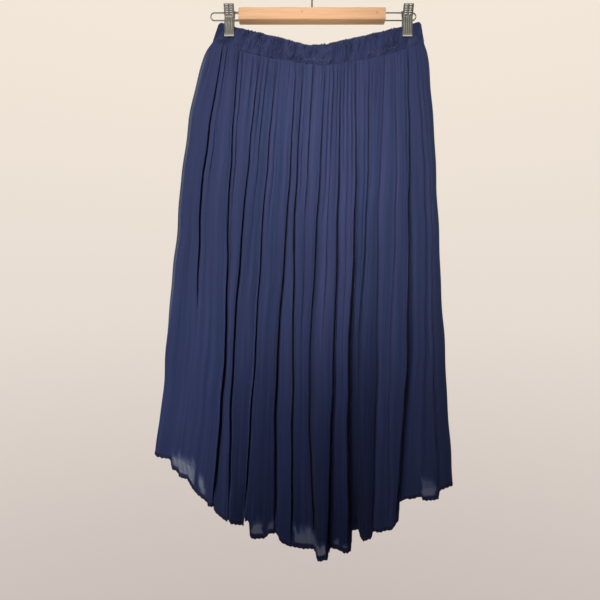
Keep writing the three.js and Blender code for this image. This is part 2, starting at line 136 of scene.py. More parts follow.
# %% Light the skirt
# Places and sizes are in metres, powers in watts and beams in degrees.
Lamp = namedtuple("Lamp", "name place target size power colour beam")
KEY_TINT = (1.0, 0.92, 0.84)
LAMPS = [
    Lamp("key_left", (-0.62, -1.26, 0.45), (-0.17, 0, -0.40), 0.7, 1.12, KEY_TINT, 34),
    Lamp("key_right", (-0.14, -1.26, 0.45), (0.20, 0, -0.40), 0.7, 1.1872, KEY_TINT, 34),
    Lamp("side_light", (-0.9, -1.0, -0.5), (-0.26, 0, -0.76), 0.4, 0.30, (1.0, 0.95, 0.92), 22),
    Lamp("bar_light", (0, -0.9, -1.15), (0, 0, -0.08), 0.3, 0.19, (1.0, 0.90, 0.80), 18),
    Lamp("back_light", (0.5, 1.5, 0.3), (0, 0, -0.4), 1.2, 22, KEY_TINT, 180),
]


def hang_lamp(lamp):
    data = bpy.data.lights.new(lamp.name, "AREA")
    data.shape = "DISK"
    data.size = lamp.size
    data.spread = math.radians(lamp.beam)
    data.energy = lamp.power
    data.color = lamp.colour
    hung = bpy.data.objects.new(lamp.name, data)
    hung.location = lamp.place
    hung.rotation_euler = (Vector(lamp.target) - hung.location).to_track_quat("-Z", "Y").to_euler()
    hung.visible_camera = False
    scene.collection.objects.link(hung)


for lamp in LAMPS:
    hang_lamp(lamp)


# %% Background
HAZE_LOW = (0.56, 0.49, 0.46, 1)
HAZE_MIDDLE = (0.79, 0.71, 0.64, 1)
HAZE_HIGH = (0.89, 0.80, 0.69, 1)
FILL_LIGHT = {"Color": (0.84, 0.90, 1.0, 1), "Strength": 0.06}


def fill_world():
    world = bpy.data.worlds.new("studio")
    world.use_nodes = True
    tree = world.node_tree
    tree.nodes.clear()
    way = node(tree, "ShaderNodeTexCoord")
    height = node(tree, "ShaderNodeSeparateXYZ", {0: way.outputs["Generated"]})
    ramp = node(tree, "ShaderNodeValToRGB", {"Fac": mapped(tree, height.outputs["Z"], -0.6, 0.5)})
    haze = ramp.color_ramp.elements
    haze[0].color = HAZE_LOW
    haze[1].color = HAZE_HIGH
    haze.new(0.5).color = HAZE_MIDDLE
    seen = node(tree, "ShaderNodeBackground", {"Color": ramp.outputs["Color"], "Strength": 1.0})
    lit = node(tree, "ShaderNodeBackground", FILL_LIGHT)
    path = node(tree, "ShaderNodeLightPath")
    either = {"Fac": path.outputs["Is Camera Ray"], 1: lit.outputs[0], 2: seen.outputs[0]}
    mix = node(tree, "ShaderNodeMixShader", either)
    node(tree, "ShaderNodeOutputWorld", {"Surface": mix.outputs[0]})
    scene.world = world


fill_world()
scene.view_settings.view_transform = "Standard"
print("lamps:", len(LAMPS))

# %% [markdown]
# ## Effects that several materials share
# A shader node group is made once and placed in each material with its own values. Three are
# enough here: a fine thread pattern, long soft streaks along the cloth, and a slow drift of tone.
# Each puts out heights, tones or a mask only, and the Principled shader stays in the material.

# %% Making and using a group
def group_of(name, inputs, outputs, kind="ShaderNodeTree"):
    tree = bpy.data.node_groups.new(name, kind)
    for label, socket, value in inputs:
        made = tree.interface.new_socket(name=label, in_out="INPUT", socket_type=socket)
        if value is not None:
            made.default_value = value
    for label, socket in outputs:
        tree.interface.new_socket(name=label, in_out="OUTPUT", socket_type=socket)
    return tree, node(tree, "NodeGroupInput").outputs, node(tree, "NodeGroupOutput")


def use_group(tree, group, vector, **values):
    return node(tree, "ShaderNodeGroup", {"Vector": vector, **values}, node_tree=group).outputs


# %% Thread pattern
def build_threads():
    tree, given, end = group_of(
        "threads",
        [("Vector", "NodeSocketVector", None), ("Pitch", "NodeSocketFloat", 0.0004)],
        [("Height", "NodeSocketFloat"), ("Shade", "NodeSocketFloat")],
    )
    turns = maths(tree, "DIVIDE", 2 * math.pi, given["Pitch"])
    split = node(tree, "ShaderNodeSeparateXYZ", {0: given["Vector"]})
    waves = [maths(tree, "SINE", maths(tree, "MULTIPLY", split.outputs[axis], turns)) for axis in "XY"]
    crossing = maths(tree, "MULTIPLY", *waves)
    crepe = noise(tree, given["Vector"], maths(tree, "DIVIDE", 0.7, given["Pitch"]), 2)
    height = maths(tree, "ADD", maths(tree, "MULTIPLY", crossing, 0.5), crepe)
    shade = maths(tree, "ADD", maths(tree, "MULTIPLY", crossing, 0.12), 0.94)
    fill(tree, end, {"Height": height, "Shade": shade})
    return tree


THREADS = build_threads()


# %% Streaks along the cloth
def build_streaks():
    tree, given, end = group_of(
        "streaks",
        [
            ("Vector", "NodeSocketVector", None),
            ("Across", "NodeSocketFloat", 300.0),
            ("Along", "NodeSocketFloat", 6.0),
        ],
        [("Height", "NodeSocketFloat"), ("Tone", "NodeSocketFloat"), ("Broad", "NodeSocketFloat")],
    )
    split = node(tree, "ShaderNodeSeparateXYZ", {0: given["Vector"]}).outputs
    x = maths(tree, "MULTIPLY", split["X"], given["Across"])
    y = maths(tree, "MULTIPLY", split["Y"], given["Along"])
    stretched = node(tree, "ShaderNodeCombineXYZ", {"X": x, "Y": y}).outputs[0]
    fine = noise(tree, stretched, 1, 3, Roughness=0.6)
    broad = noise(tree, stretched, 0.22, 1)
    height = maths(tree, "ADD", fine, maths(tree, "MULTIPLY", broad, 0.8))
    tone = maths(tree, "MULTIPLY", height, 0.555)
    fill(tree, end, {"Height": height, "Tone": tone, "Broad": broad})
    return tree


STREAKS = build_streaks()


# %% Slow drift of tone
def build_drift():
    tree, given, end = group_of(
        "drift",
        [("Vector", "NodeSocketVector", None), ("Scale", "NodeSocketFloat", 5.0)],
        [("Mask", "NodeSocketFloat")],
    )
    fill(tree, end, {"Mask": noise(tree, given["Vector"], given["Scale"], 2)})
    return tree


DRIFT = build_drift()
print("shader groups:", THREADS.name, STREAKS.name, DRIFT.name)

# %% [markdown]
# ## Cloth materials
# The sheer cloth lets about an eighth of the light through one layer. Its shell has two faces, so
# each face takes its share. Where pleats lie over each other there are several layers, which a
# point attribute counts; over the lower folds and in deep creases it is raised to paint shade. From
# three on the cloth looks solid and each layer more darkens it as painted shade, red most and blue
# least. Towards a single layer it takes a paler tone of its own. Thread pattern and streaks follow
# the cloth's own UV map, measured in metres of cloth, so they run with the folds.

# %% Material helpers
def bare_material(name):
    made = bpy.data.materials.new(name)
    made.use_nodes = True
    tree = made.node_tree
    tree.nodes.clear()
    skin = node(tree, "ShaderNodeBsdfPrincipled")
    node(tree, "ShaderNodeOutputMaterial", {"Surface": skin.outputs[0]})
    return made, tree, skin


def object_place(tree):
    return node(tree, "ShaderNodeTexCoord").outputs["Object"]


def mark(tree, name):
    return node(tree, "ShaderNodeAttribute", attribute_name=name).outputs["Fac"]


def raised(tree, skin, heights):
    # Each height goes through a Bump node of its own, with its size in metres, chained to the next.
    normal = None
    for height, size in heights:
        inputs = {"Strength": 1, "Distance": size, "Height": height}
        if normal is not None:
            inputs["Normal"] = normal
        normal = node(tree, "ShaderNodeBump", inputs).outputs["Normal"]
    fill(tree, skin, {"Normal": normal})


# %% Cloth materials
FACE_PASSES = 0.35
PAINTED_SHADE_PER_LAYER = (0.795, 0.815, 0.85)
SOLID_LAYERS = 3
SINGLE_LAYER = (0.095, 0.125, 0.22)
THREAD_PITCH = 0.00045
THREAD_RELIEF = 0.00006
STREAKS_ACROSS = 330.0
SHEEN_TINT = (0.62, 0.66, 0.9, 1)


def cloth_material(
    name, dark, light, sheen, streak_height, roughness, streak_run=7.0, streak_tone=1.3, sheer=False
):
    made, tree, skin = bare_material(name)
    uv = node(tree, "ShaderNodeUVMap", uv_map="cloth").outputs["UV"]
    threads = use_group(tree, THREADS, uv, Pitch=THREAD_PITCH)
    streaks = use_group(tree, STREAKS, uv, Across=STREAKS_ACROSS, Along=streak_run)
    drift = use_group(tree, DRIFT, uv, Scale=9.0)
    sway = mapped(tree, streaks["Broad"], 0.38, 0.62)
    tone = maths(tree, "MULTIPLY", maths(tree, "ADD", sway, drift["Mask"]), 0.5)
    body = mix_colour(tree, tone, dark, light)
    streak = maths(tree, "MULTIPLY", streaks["Tone"], streak_tone)
    streak = maths(tree, "ADD", streak, 1 - streak_tone / 2)
    body = mix_colour(tree, 1, body, streak, "MULTIPLY")
    body = mix_colour(tree, 1, body, threads["Shade"], "MULTIPLY")
    raised(tree, skin, [(streaks["Height"], streak_height), (threads["Height"], THREAD_RELIEF)])
    if sheer:
        layers = mark(tree, "layers")
        passes = maths(tree, "POWER", FACE_PASSES, layers)
        fill(tree, skin, {"Alpha": maths(tree, "SUBTRACT", 1, passes)})
        # Past three layers each extra layer paints shade: it darkens the colour, red most and blue
        # least.
        beyond = maths(tree, "SUBTRACT", layers, SOLID_LAYERS)
        shares = {k: maths(tree, "POWER", darkens, beyond) for k, darkens in enumerate(PAINTED_SHADE_PER_LAYER)}
        body = scaled(tree, body, node(tree, "ShaderNodeCombineXYZ", shares).outputs[0])
        body = mix_colour(tree, mapped(tree, layers, SOLID_LAYERS, 1), body, SINGLE_LAYER)
    finish = {
        "Base Color": body,
        "Roughness": roughness,
        "Specular IOR Level": 0.15,
        "Sheen Weight": sheen,
        "Sheen Roughness": 0.45,
        "Sheen Tint": SHEEN_TINT,
    }
    fill(tree, skin, finish)
    return made


SHEER_CLOTH = cloth_material(
    "sheer_cloth", (0.031, 0.052, 0.142), (0.044, 0.052, 0.142), 0.04, 0.0005, 0.9, sheer=True
)
BAND_CLOTH = cloth_material(
    "band_cloth", (0.026, 0.043, 0.122), (0.038, 0.045, 0.122), 0.04, 0.0026, 0.9, 90.0, 3.2
)
LINING_CLOTH = cloth_material(
    "lining_cloth", (0.012, 0.016, 0.045), (0.018, 0.023, 0.06), 0.05, 0.0002, 0.6
)
HEM_CLOTH = cloth_material(
    "hem_cloth", (0.013, 0.017, 0.052), (0.020, 0.025, 0.072), 0.08, 0.0001, 0.8
)


# %% Thread materials
def thread_material(name, dark, light):
    made, tree, skin = bare_material(name)
    drift = use_group(tree, DRIFT, object_place(tree), Scale=700.0)["Mask"]
    fill(tree, skin, {"Base Color": mix_colour(tree, drift, dark, light), "Roughness": 0.6})
    raised(tree, skin, [(drift, 0.0001)])
    return made


THREAD = thread_material("thread", (0.016, 0.02, 0.06), (0.04, 0.05, 0.12))
# The slack thread's paler tone is painted highlight on the curls at the waist seam.
HIGHLIT_LOOSE_THREAD = thread_material("loose_thread_painted_highlight", (0.06, 0.08, 0.20), (0.16, 0.19, 0.36))

# %% [markdown]
# ## Wood and metal
# The bar is pale varnished wood with long straight grain and two small dark plugs. Grain is a
# noise stretched along the bar. The wires are drawn steel and the clips pressed steel, dull from
# use, with small differences in roughness. Edges are rubbed brighter. The tops of the clips' bumps
# and their lips carry a painted highlight, and their grooves and other dips carry painted shade.

# %% Wood
PLUGS = [(-17.0, -90.3), (109.2, -91.4)]
PLUG_R = 1.5
PLUG_TONE = (0.46, 0.25, 0.15)
GRAIN_LONG = 0.045


def wood_material():
    made, tree, skin = bare_material("varnished_wood")
    place = object_place(tree)
    along = scaled(tree, place, (GRAIN_LONG, 1.0, 1.0))
    grain = noise(tree, along, 520, 5, Distortion=0.4)
    body = mix_colour(tree, noise(tree, along, 90, 2), (0.71, 0.43, 0.25), (0.85, 0.54, 0.32))
    body = mix_colour(tree, maths(tree, "POWER", grain, 2.4), body, (0.50, 0.26, 0.13))
    facing = scaled(tree, place, (1.0, 0.0, 1.0))
    for x, z in PLUGS:
        ends = {0: facing, 1: (x * MM, 0, z * MM)}
        away = node(tree, "ShaderNodeVectorMath", ends, operation="DISTANCE").outputs["Value"]
        rim, core = 1.25 * PLUG_R * MM, 0.6 * PLUG_R * MM
        inside = mapped(tree, away, rim, core, interpolation_type="SMOOTHSTEP")
        body = mix_colour(tree, inside, body, PLUG_TONE)
    finish = {
        "Base Color": body,
        "Roughness": maths(tree, "ADD", maths(tree, "MULTIPLY", grain, 0.25), 0.5),
        "Specular IOR Level": 0.3,
        "Coat Weight": 0.04,
        "Coat Roughness": 0.4,
    }
    fill(tree, skin, finish)
    raised(tree, skin, [(grain, 0.00012)])
    return made


WOOD = wood_material()


# %% Metal
EDGE_GAIN = 1.35
PAINTED_SHADE_SHARE = 0.25


def metal_material(name, dark, light, metallic, smoothest, roughest, dent, highlight_tone=None):
    made, tree, skin = bare_material(name)
    drift = use_group(tree, DRIFT, object_place(tree), Scale=260.0)["Mask"]
    body = mix_colour(tree, drift, dark, light)
    edge = mapped(tree, node(tree, "ShaderNodeNewGeometry").outputs["Pointiness"], 0.52, 0.62)
    body = mix_colour(tree, edge, body, tuple(min(1, EDGE_GAIN * c) for c in light))
    # One point mark paints highlight on the tops of the clips' bumps and their lips, in a pale
    # non-metallic tone; the other paints shade into their grooves and dips.
    if highlight_tone:
        painted_highlight = mark(tree, "painted_highlight")
        body = mix_colour(tree, painted_highlight, body, highlight_tone)
        # The second mark paints shade, a darker copy of the steel's own tone.
        body = mix_colour(tree, mark(tree, "painted_shade"), body, tuple(PAINTED_SHADE_SHARE * c for c in dark))
        metallic = maths(tree, "MULTIPLY", maths(tree, "SUBTRACT", 1, painted_highlight), metallic)
    rough = maths(tree, "ADD", maths(tree, "MULTIPLY", drift, roughest - smoothest), smoothest)
    fill(tree, skin, {"Base Color": body, "Metallic": metallic, "Roughness": rough})
    raised(tree, skin, [(drift, dent)])
    return made


WIRE = metal_material("drawn_wire", (0.135, 0.128, 0.117), (0.22, 0.208, 0.19), 0.6, 0.3, 0.5, 0.00003)
PAINTED_HIGHLIGHT_TONE = (0.9, 0.9, 0.87)
CLIP = metal_material(
    "pressed_steel", (0.19, 0.195, 0.175), (0.27, 0.275, 0.25), 0.5, 0.36, 0.58, 0.00006, PAINTED_HIGHLIGHT_TONE
)


# %% Floor material
FLOOR_GLOW = 0.8


def floor_material():
    # The lamps are aimed at the skirt, so the floor shows its own pale tone to the camera.
    made, tree, skin = bare_material("pale_floor")
    drift = use_group(tree, DRIFT, object_place(tree), Scale=3.0)["Mask"]
    tone = mix_colour(tree, drift, (0.70, 0.66, 0.62), (0.76, 0.72, 0.68))
    path = node(tree, "ShaderNodeLightPath")
    glow = maths(tree, "MULTIPLY", path.outputs["Is Camera Ray"], FLOOR_GLOW)
    finish = {"Base Color": tone, "Emission Color": tone, "Emission Strength": glow, "Roughness": 0.8}
    fill(tree, skin, finish)
    return made


FLOOR_FINISH = floor_material()
print("materials:", ", ".join(made.name for made in bpy.data.materials))

# %% [markdown]
# ## Pieces as grids of points
# Cloth, hems, wires and jaws are all surfaces with two directions, so one helper turns a grid of
# points into a mesh: with a flat map for the weave, point marks for the materials, smooth shading
# and sharp edges where faces meet steeply. The floor is the first and simplest piece made with it.

# %% Meshes from grids of points
SHARP_FROM = 60


def placed(name, mesh, material, sharp=SHARP_FROM):
    # Faces that meet at more than this angle, in degrees, keep a sharp edge between them.
    mesh.shade_smooth()
    mesh.set_sharp_from_angle(angle=math.radians(sharp))
    mesh.materials.append(material)
    piece = bpy.data.objects.new(name, mesh)
    scene.collection.objects.link(piece)
    return piece


def mesh_piece(name, points, faces, material, uv=None, marks=None):
    mesh = bpy.data.meshes.new(name)
    mesh.from_pydata(np.asarray(points, dtype=np.float64).tolist(), [], [tuple(f) for f in faces])
    if uv is not None:
        flat_map = mesh.uv_layers.new(name="cloth")
        corners = np.empty(len(mesh.loops), dtype=np.int32)
        mesh.loops.foreach_get("vertex_index", corners)
        flat_map.data.foreach_set("uv", np.asarray(uv, dtype=np.float32)[corners].ravel())
    for label, values in (marks or {}).items():
        made = mesh.attributes.new(label, "FLOAT", "POINT")
        made.data.foreach_set("value", np.asarray(values, dtype=np.float32))
    return placed(name, mesh, material)


def finished(piece, stands_for=None):
    # Every piece rides on the one body. Most stand for a solid.
    if stands_for:
        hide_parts(stands_for)
    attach(piece, "root")


def grid_quads(rows, columns, start=0, flip=False, around=False):
    r, c = np.meshgrid(np.arange(rows - 1), np.arange(columns if around else columns - 1), indexing="ij")
    right = (c + 1) % columns
    a = start + r * columns + c
    b = start + (r + 1) * columns + c
    d = start + r * columns + right
    e = start + (r + 1) * columns + right
    order = (a, d, e, b) if flip else (a, b, e, d)
    return np.stack(order, axis=-1).reshape(-1, 4)


# %% Floor, in metres
FLOOR_Z = -1.75
FLOOR_RADIUS = 0.95
FLOOR_SIDES = 96


def add_floor():
    turn = np.linspace(0, 2 * math.pi, FLOOR_SIDES, endpoint=False)
    height = np.full(FLOOR_SIDES, FLOOR_Z)
    rim = np.stack([FLOOR_RADIUS * np.cos(turn), FLOOR_RADIUS * np.sin(turn), height], axis=1)
    floor = mesh_piece("floor", rim, [range(FLOOR_SIDES)], FLOOR_FINISH)
    print("floor radius:", FLOOR_RADIUS)


add_floor()

# %% [markdown]
# ## How the cloth falls
# Both panels follow one rule, the same as the solids': sections from the waist seam to the hem
# give the side edges and the depth, and listed creases cut the cloth into folds. On the
# real skirt the gathers at the waist merge on the way down, so each fold starts as a few fine
# gathers and ends as one broad tongue at the hem. Here each fold also gets a tilt, and each
# crease a place where it closes, read from the picture.

# %% Sections, in millimetres
# First the gaps between the two halves, below the waistband and over the lining, then how far
# from a side edge the last one is fully open, and how thick the sheer cloth's shell is.
SEAM_GAP = 0.3
SEWN_GAP = 0.05
LINING_ROOM = 1.6
ROOM_EDGE = 4
SHELL = 0.5
Section = namedtuple("Section", "down left right swell hollow gather")
SECTIONS = [
    Section(0, -168, 190, 1.2, 0, 1.8),
    Section(0.03, -182, 197, 4.5, 1, 2.8),
    Section(0.1, -196, 202, 9, 2.5, 3),
    Section(0.2, -210, 207, 14, 4.5, 2.8),
    Section(0.35, -223, 213, 19, 6.5, 2.3),
    Section(0.5, -232, 217.5, 22, 8, 1.9),
    Section(0.67, -244, 224.5, 25, 9, 1.4),
    Section(0.84, -252.5, 231.5, 27, 10, 0.9),
    Section(1, -267, 239, 28, 10, 0.5),
]


def smooth(stations, values, at):
    # A smooth curve through values, one for each station, in any number of columns.
    stations = np.asarray(stations, dtype=float)
    values = np.asarray(values, dtype=float)
    at = np.clip(np.asarray(at, dtype=float), stations[0], stations[-1])
    k = np.arange(len(stations))
    before = np.maximum(k - 1, 0)
    after = np.minimum(k + 1, len(k) - 1)
    slopes = ((values[after] - values[before]).T / (stations[after] - stations[before])).T
    i = np.clip(np.searchsorted(stations, at, side="right") - 1, 0, len(k) - 2)
    step = stations[i + 1] - stations[i]
    f = (at - stations[i]) / step
    if values.ndim > 1:
        step = step[..., None]
        f = f[..., None]
    g = 1 - f
    ends = values[i] * (1 + 2 * f) * g * g + values[i + 1] * (3 - 2 * f) * f * f
    return ends + step * (slopes[i] * f * g * g - slopes[i + 1] * f * f * g)


def section(column, down):
    return smooth([s.down for s in SECTIONS], [getattr(s, column) for s in SECTIONS], down)


def side_edges(down):
    return section("left", down), section("right", down)


def lerp(a, b, t):
    return a + (b - a) * t


def ease(low, high, value):
    t = np.clip((value - low) / (high - low), 0, 1)
    return t * t * (3 - 2 * t)


def tent(away, reach):
    # 1 in the middle, falling evenly to 0 at the reach on both sides.
    return np.maximum(0, 1 - np.abs(away) / reach)


def arc_lengths(path):
    # How far along the path each of its points lies.
    return np.concatenate([[0], np.cumsum(np.linalg.norm(np.diff(path, axis=0), axis=1))])


def unit(vectors):
    return vectors / np.linalg.norm(vectors, axis=-1, keepdims=True)


def circle(sides):
    return 2 * math.pi * np.arange(sides) / sides


def spread_out(values, share):
    # Values at even places from 0 to 1, with straight runs between them.
    return np.interp(share, np.linspace(0, 1, len(values)), values)


# %% Waistband and hem lines
Edge = namedtuple("Edge", "left_x left_z right_x right_z low_x sag bend_left bend_right")
BAND_TOP = Edge(-157, -103.5, 184, -102, 1, 47, 1.05, 1.25)
BAND_FOOT = Edge(-168, -136, 190, -138, 8, 44, 1.6, 1.6)
BAND_BOW = 9
PINCHED_FROM = 0.84
HEM_LEFT_Z = -842
HEM_RIGHT_Z = -891
HEM_DIP = 114.5


def across(edge, x):
    left = (x - edge.low_x) / (edge.low_x - edge.left_x)
    right = (x - edge.low_x) / (edge.right_x - edge.low_x)
    return np.where(x < edge.low_x, left, right)


def band_z(edge, x):
    s = np.clip(across(edge, x), -1, 1)
    end = np.where(s < 0, edge.left_z, edge.right_z)
    bend = np.where(s < 0, edge.bend_left, edge.bend_right)
    return end - edge.sag * (1 - (s * s + 0.0004) ** (bend / 2))


def bow(x):
    s = across(BAND_FOOT, x) / PINCHED_FROM
    return BAND_BOW * np.maximum(0, 1 - s * s) ** 1.2


def hem_z(x):
    left, right = side_edges(1)
    s = (2 * x - left - right) / (right - left)
    return lerp(HEM_LEFT_Z, HEM_RIGHT_Z, (s + 1) / 2) - HEM_DIP * np.maximum(0, 1 - s * s) ** 1.5


def flatness(share):
    return np.maximum(0, 1 - np.abs(2 * share - 1) ** 5) ** 0.6


# %% Creases, in millimetres
# seam, upper, lower and hem are a crease's places across at 0, 1/3, 2/3 and all of the way down.
# cut is how deep it bites at each, closes how far down it ends, and wide how wide it opens, 1 for
# most; past 1.1 it also paints shade into the crease. The rest is of the fold to the left of it:
# its gathers, and at the hem its crest, how much more its right end stands out than its left
# (tilt), its extra length (drop), how much lower its right end is (slope), and its plies: painted
# shade on its lower part, counted as plies of cloth.
Crease = namedtuple("Crease", "seam upper lower hem cut closes gathers crest tilt drop slope plies wide")
STATIONS = [0, 1 / 3, 2 / 3, 1]
FRONT = [
    Crease(-151, -184, -193, -222, (0.9, 1.0, 0.2, 0.1), 0.6, 2, 10, 6, -2, -10, 5.1, 1),
    Crease(-124, -138, -144, -164, (0.7, 0.5, 0.8, 1.0), 0.972, 4, 20, 8, 0, 0, 5.1, 1.2),
    Crease(-88, -112, -130, -137, (0.4, 0.6, 0.6, 0.4), 0.945, 4, 28, 6, 5, 0, 6.1, 1),
    Crease(-59, -80, -95, -112, (0.4, 0.5, 0.75, 1.0), 0.975, 4, 26, -14, 2, -4, 6.1, 1),
    Crease(-27, -42, -59, -62, (0.4, 0.8, 1.0, 0.8), 0.975, 4, 30, -20, 2, -4, 6.3, 1.2),
    Crease(-15, -29, -32, -34, (0.5, 1.0, 0.6, 0.5), 0.98, 2, 24, 14, 0, 0, 6.9, 1),
    Crease(22, 8, -4, 4, (0.5, 0.6, 0.4, 0.6), 0.97, 4, 29, 0, 0, 0, 7.0, 1.5),
    Crease(49, 43, 35, 26, (0.4, 0.5, 0.45, 1.0), 0.985, 4, 56, 0, 7, 0, 7.3, 1),
    Crease(73, 72, 63, 64, (0.4, 0.5, 0.8, 1.0), 0.985, 4, 40, 22, 2, 2, 7.3, 1.8),
    Crease(96, 90, 76, 80, (0.3, 0.3, 0.4, 0.3), 0.97, 3, 8, 4, -10, 0, 7.7, 1),
    Crease(123, 108, 106, 98, (0.3, 0.3, 0.3, 0.4), 0.97, 4, 32, 0, 0, 0, 8.3, 1),
    Crease(139, 137, 126, 124, (0.4, 0.3, 0.2, 0.2), 0.97, 2, 26, 4, 0, 0, 5.1, 1),
    Crease(162, 163, 162, 144, (0.6, 1.0, 1.0, 1.0), 0.985, 3, 33, -6, 0, 0, 5.2, 2.4),
    Crease(175, 189, 189, 185, (0.3, 0.4, 0.5, 0.5), 0.97, 2, 8, 6, -6, 0, 5.0, 1),
    Crease(183, 200, 203, 213, (0.2, 0.2, 0.3, 0.5), 0.985, 2, 18, 6, 2, 4, 5.0, 1),
    Crease(None, None, None, None, (0, 0, 0, 0), 1.1, 2, 8, 0, 0, 0, 5.0, 1),
]
BACK = [
    Crease(-152, -199, -216, -200, (0.7, 0.6, 0.5, 0.6), 0.985, 2, 10, 0, -16, 0, 5.0, 1),
    Crease(-128, -168, -183, -183, (0.4, 0.6, 0.6, 0.8), 0.97, 4, 20, 6, -2, 3, 5.2, 1),
    Crease(-104, -130, -145, -155, (0.5, 0.4, 0.8, 0.9), 0.96, 3, 24, 0, 0, 0, 5.6, 1),
    Crease(-74, -92, -110, -124, (0.6, 0.8, 1.0, 1.0), 0.985, 4, 32, -10, 2, 4, 5.4, 1.6),
    Crease(-47, -63, -75, -86, (0.4, 0.5, 0.5, 0.6), 0.8, 3, 22, 6, -3, 0, 6.2, 1),
    Crease(-20, -30, -37, -46, (0.5, 0.7, 1.0, 1.0), 0.985, 3, 30, 0, 0, -3, 6.4, 1),
    Crease(0, -6, -15, -27, (0.4, 0.6, 0.4, 0.7), 0.97, 3, 18, -6, -8, 0, 6.8, 1),
    Crease(30, 24, 18, 9, (0.6, 0.9, 0.9, 1.0), 0.97, 4, 34, 12, 4, 0, 6.2, 1.4),
    Crease(57, 53, 48, 42, (0.5, 0.5, 0.6, 0.7), 0.985, 4, 24, 0, -4, 4, 6.6, 1),
    Crease(80, 82, 79, 76, (0.5, 0.7, 1.0, 1.0), 0.985, 3, 34, -12, 3, -2, 6.4, 1),
    Crease(105, 113, 112, 109, (0.4, 0.4, 0.4, 0.7), 0.75, 3, 20, 0, 0, 0, 5.8, 1),
    Crease(127, 137, 141, 145, (0.5, 0.9, 0.9, 1.0), 0.985, 3, 30, 8, 0, -4, 5.4, 1.8),
    Crease(150, 164, 168, 174, (0.4, 0.4, 0.7, 0.7), 0.97, 3, 24, 0, -3, 0, 5.6, 1),
    Crease(168, 184, 192, 203, (0.3, 0.4, 0.5, 0.6), 0.985, 3, 20, 0, -4, 3, 5.2, 1),
    Crease(180, 199, 211, 222, (0.2, 0.3, 0.3, 0.4), 0.97, 2, 14, 0, 0, 0, 5.2, 1),
    Crease(None, None, None, None, (0, 0, 0, 0), 1.1, 2, 8, 0, 0, 0, 5.0, 1),
]
print("front folds:", len(FRONT), "gathers:", sum(c.gathers for c in FRONT))

# %% [markdown]
# ## The panels
# A panel could be draped by a cloth simulation, but the folds would then fall where they like.
# Placed folds can match the picture, so the panel is a grid whose columns run down the folds,
# closer together beside the creases where the cloth turns sharply. Between the main creases there
# are finer ones that fade on the way down, short gathers just under the seam and a slight crinkle,
# all from a fixed seed. Rows are closer at the waist seam and at the hem. A second grid half a
# millimetre inside closes it to a thin shell.

# %% Where the front hem is taken up, in millimetres
HEM_LIFTS = [
    (-267, 6), (-252, 7), (-243, 10), (-238, 10), (-236, -3), (-225, -3), (-216, 1), (-208, 6),
    (-198, -2), (-190, -4), (-174, -2), (-171.5, -8), (-163, -2), (-150, -2), (-114, 0), (-111.5, 20),
    (-103, 25), (-101.5, 0), (-97, -3), (-78, 1), (-70, 11), (-58, 10), (-53, 1), (6, 2),
    (20, 6), (25, 0), (30, 4), (40, 4), (50, 0), (97, 0), (99, 6), (110, -1),
    (128, -2), (140, 2), (142, 4), (146, 14), (158, 14), (166, 9), (180, 6), (190, 2),
    (200, -1), (212, -3), (214, 2), (239, 2),
]


def hem_lift(x, lifts):
    return np.interp(x, [at for at, up in lifts], [up for at, up in lifts])


# %% Columns and rows of the grid
COLUMNS_A_GATHER = 12
STEP_WIDTH = 1.8
CROWDING = 0.11
FINE_GATHER = 1.6
SHORT_GATHER = 2.6
CRINKLE_KNOTS = 15
SLOW_KNOTS = 9
FINE_CRINKLE = 0.2
SLOW_CRINKLE = 0.3
CLOSED_SHARE = 0.8
BROAD_REACH = 0.38
BROAD_SHARE = 0.12
SHARP_SHARE = 1.1
SHARP_BEND = 1.2
BODY_ROWS = 70


def column_places(creases):
    fold = []
    place = []
    for i, crease in enumerate(creases):
        count = crease.gathers * COLUMNS_A_GATHER
        t = np.arange(count) / count
        fold.extend([i] * count)
        place.extend(t - CROWDING * np.sin(2 * math.pi * t))
    fold.append(len(creases) - 1)
    place.append(1.0)
    return np.array(fold), np.array(place)


def row_places():
    top = np.array([0, 0.002, 0.005, 0.009, 0.014])
    body = np.linspace(0.02, 0.975, BODY_ROWS)
    foot = np.array([0.981, 0.986, 0.990, 0.9935, 0.9965, 1])
    return np.concatenate([top, body, foot])


# %% The surface of a panel
def crease_lines(creases, down):
    # The share of the width at which each crease lies, one row for each value of down.
    left, right = side_edges(down)
    lines = [np.zeros(len(down))]
    for c in creases[:-1]:
        at = smooth(STATIONS, [c.seam, c.upper, c.lower, c.hem], down)
        lines.append((at - left) / (right - left))
    lines.append(np.ones(len(down)))
    return np.stack(lines)


def crease_cuts(creases, down):
    cuts = [np.zeros(len(down))]
    for c in creases[:-1]:
        bite = smooth(STATIONS, c.cut, down)
        closed = CLOSED_SHARE * ease(c.closes - 0.03, c.closes + 0.015, down)
        cuts.append(bite * (1 - closed))
    cuts.append(np.zeros(len(down)))
    return np.stack(cuts)


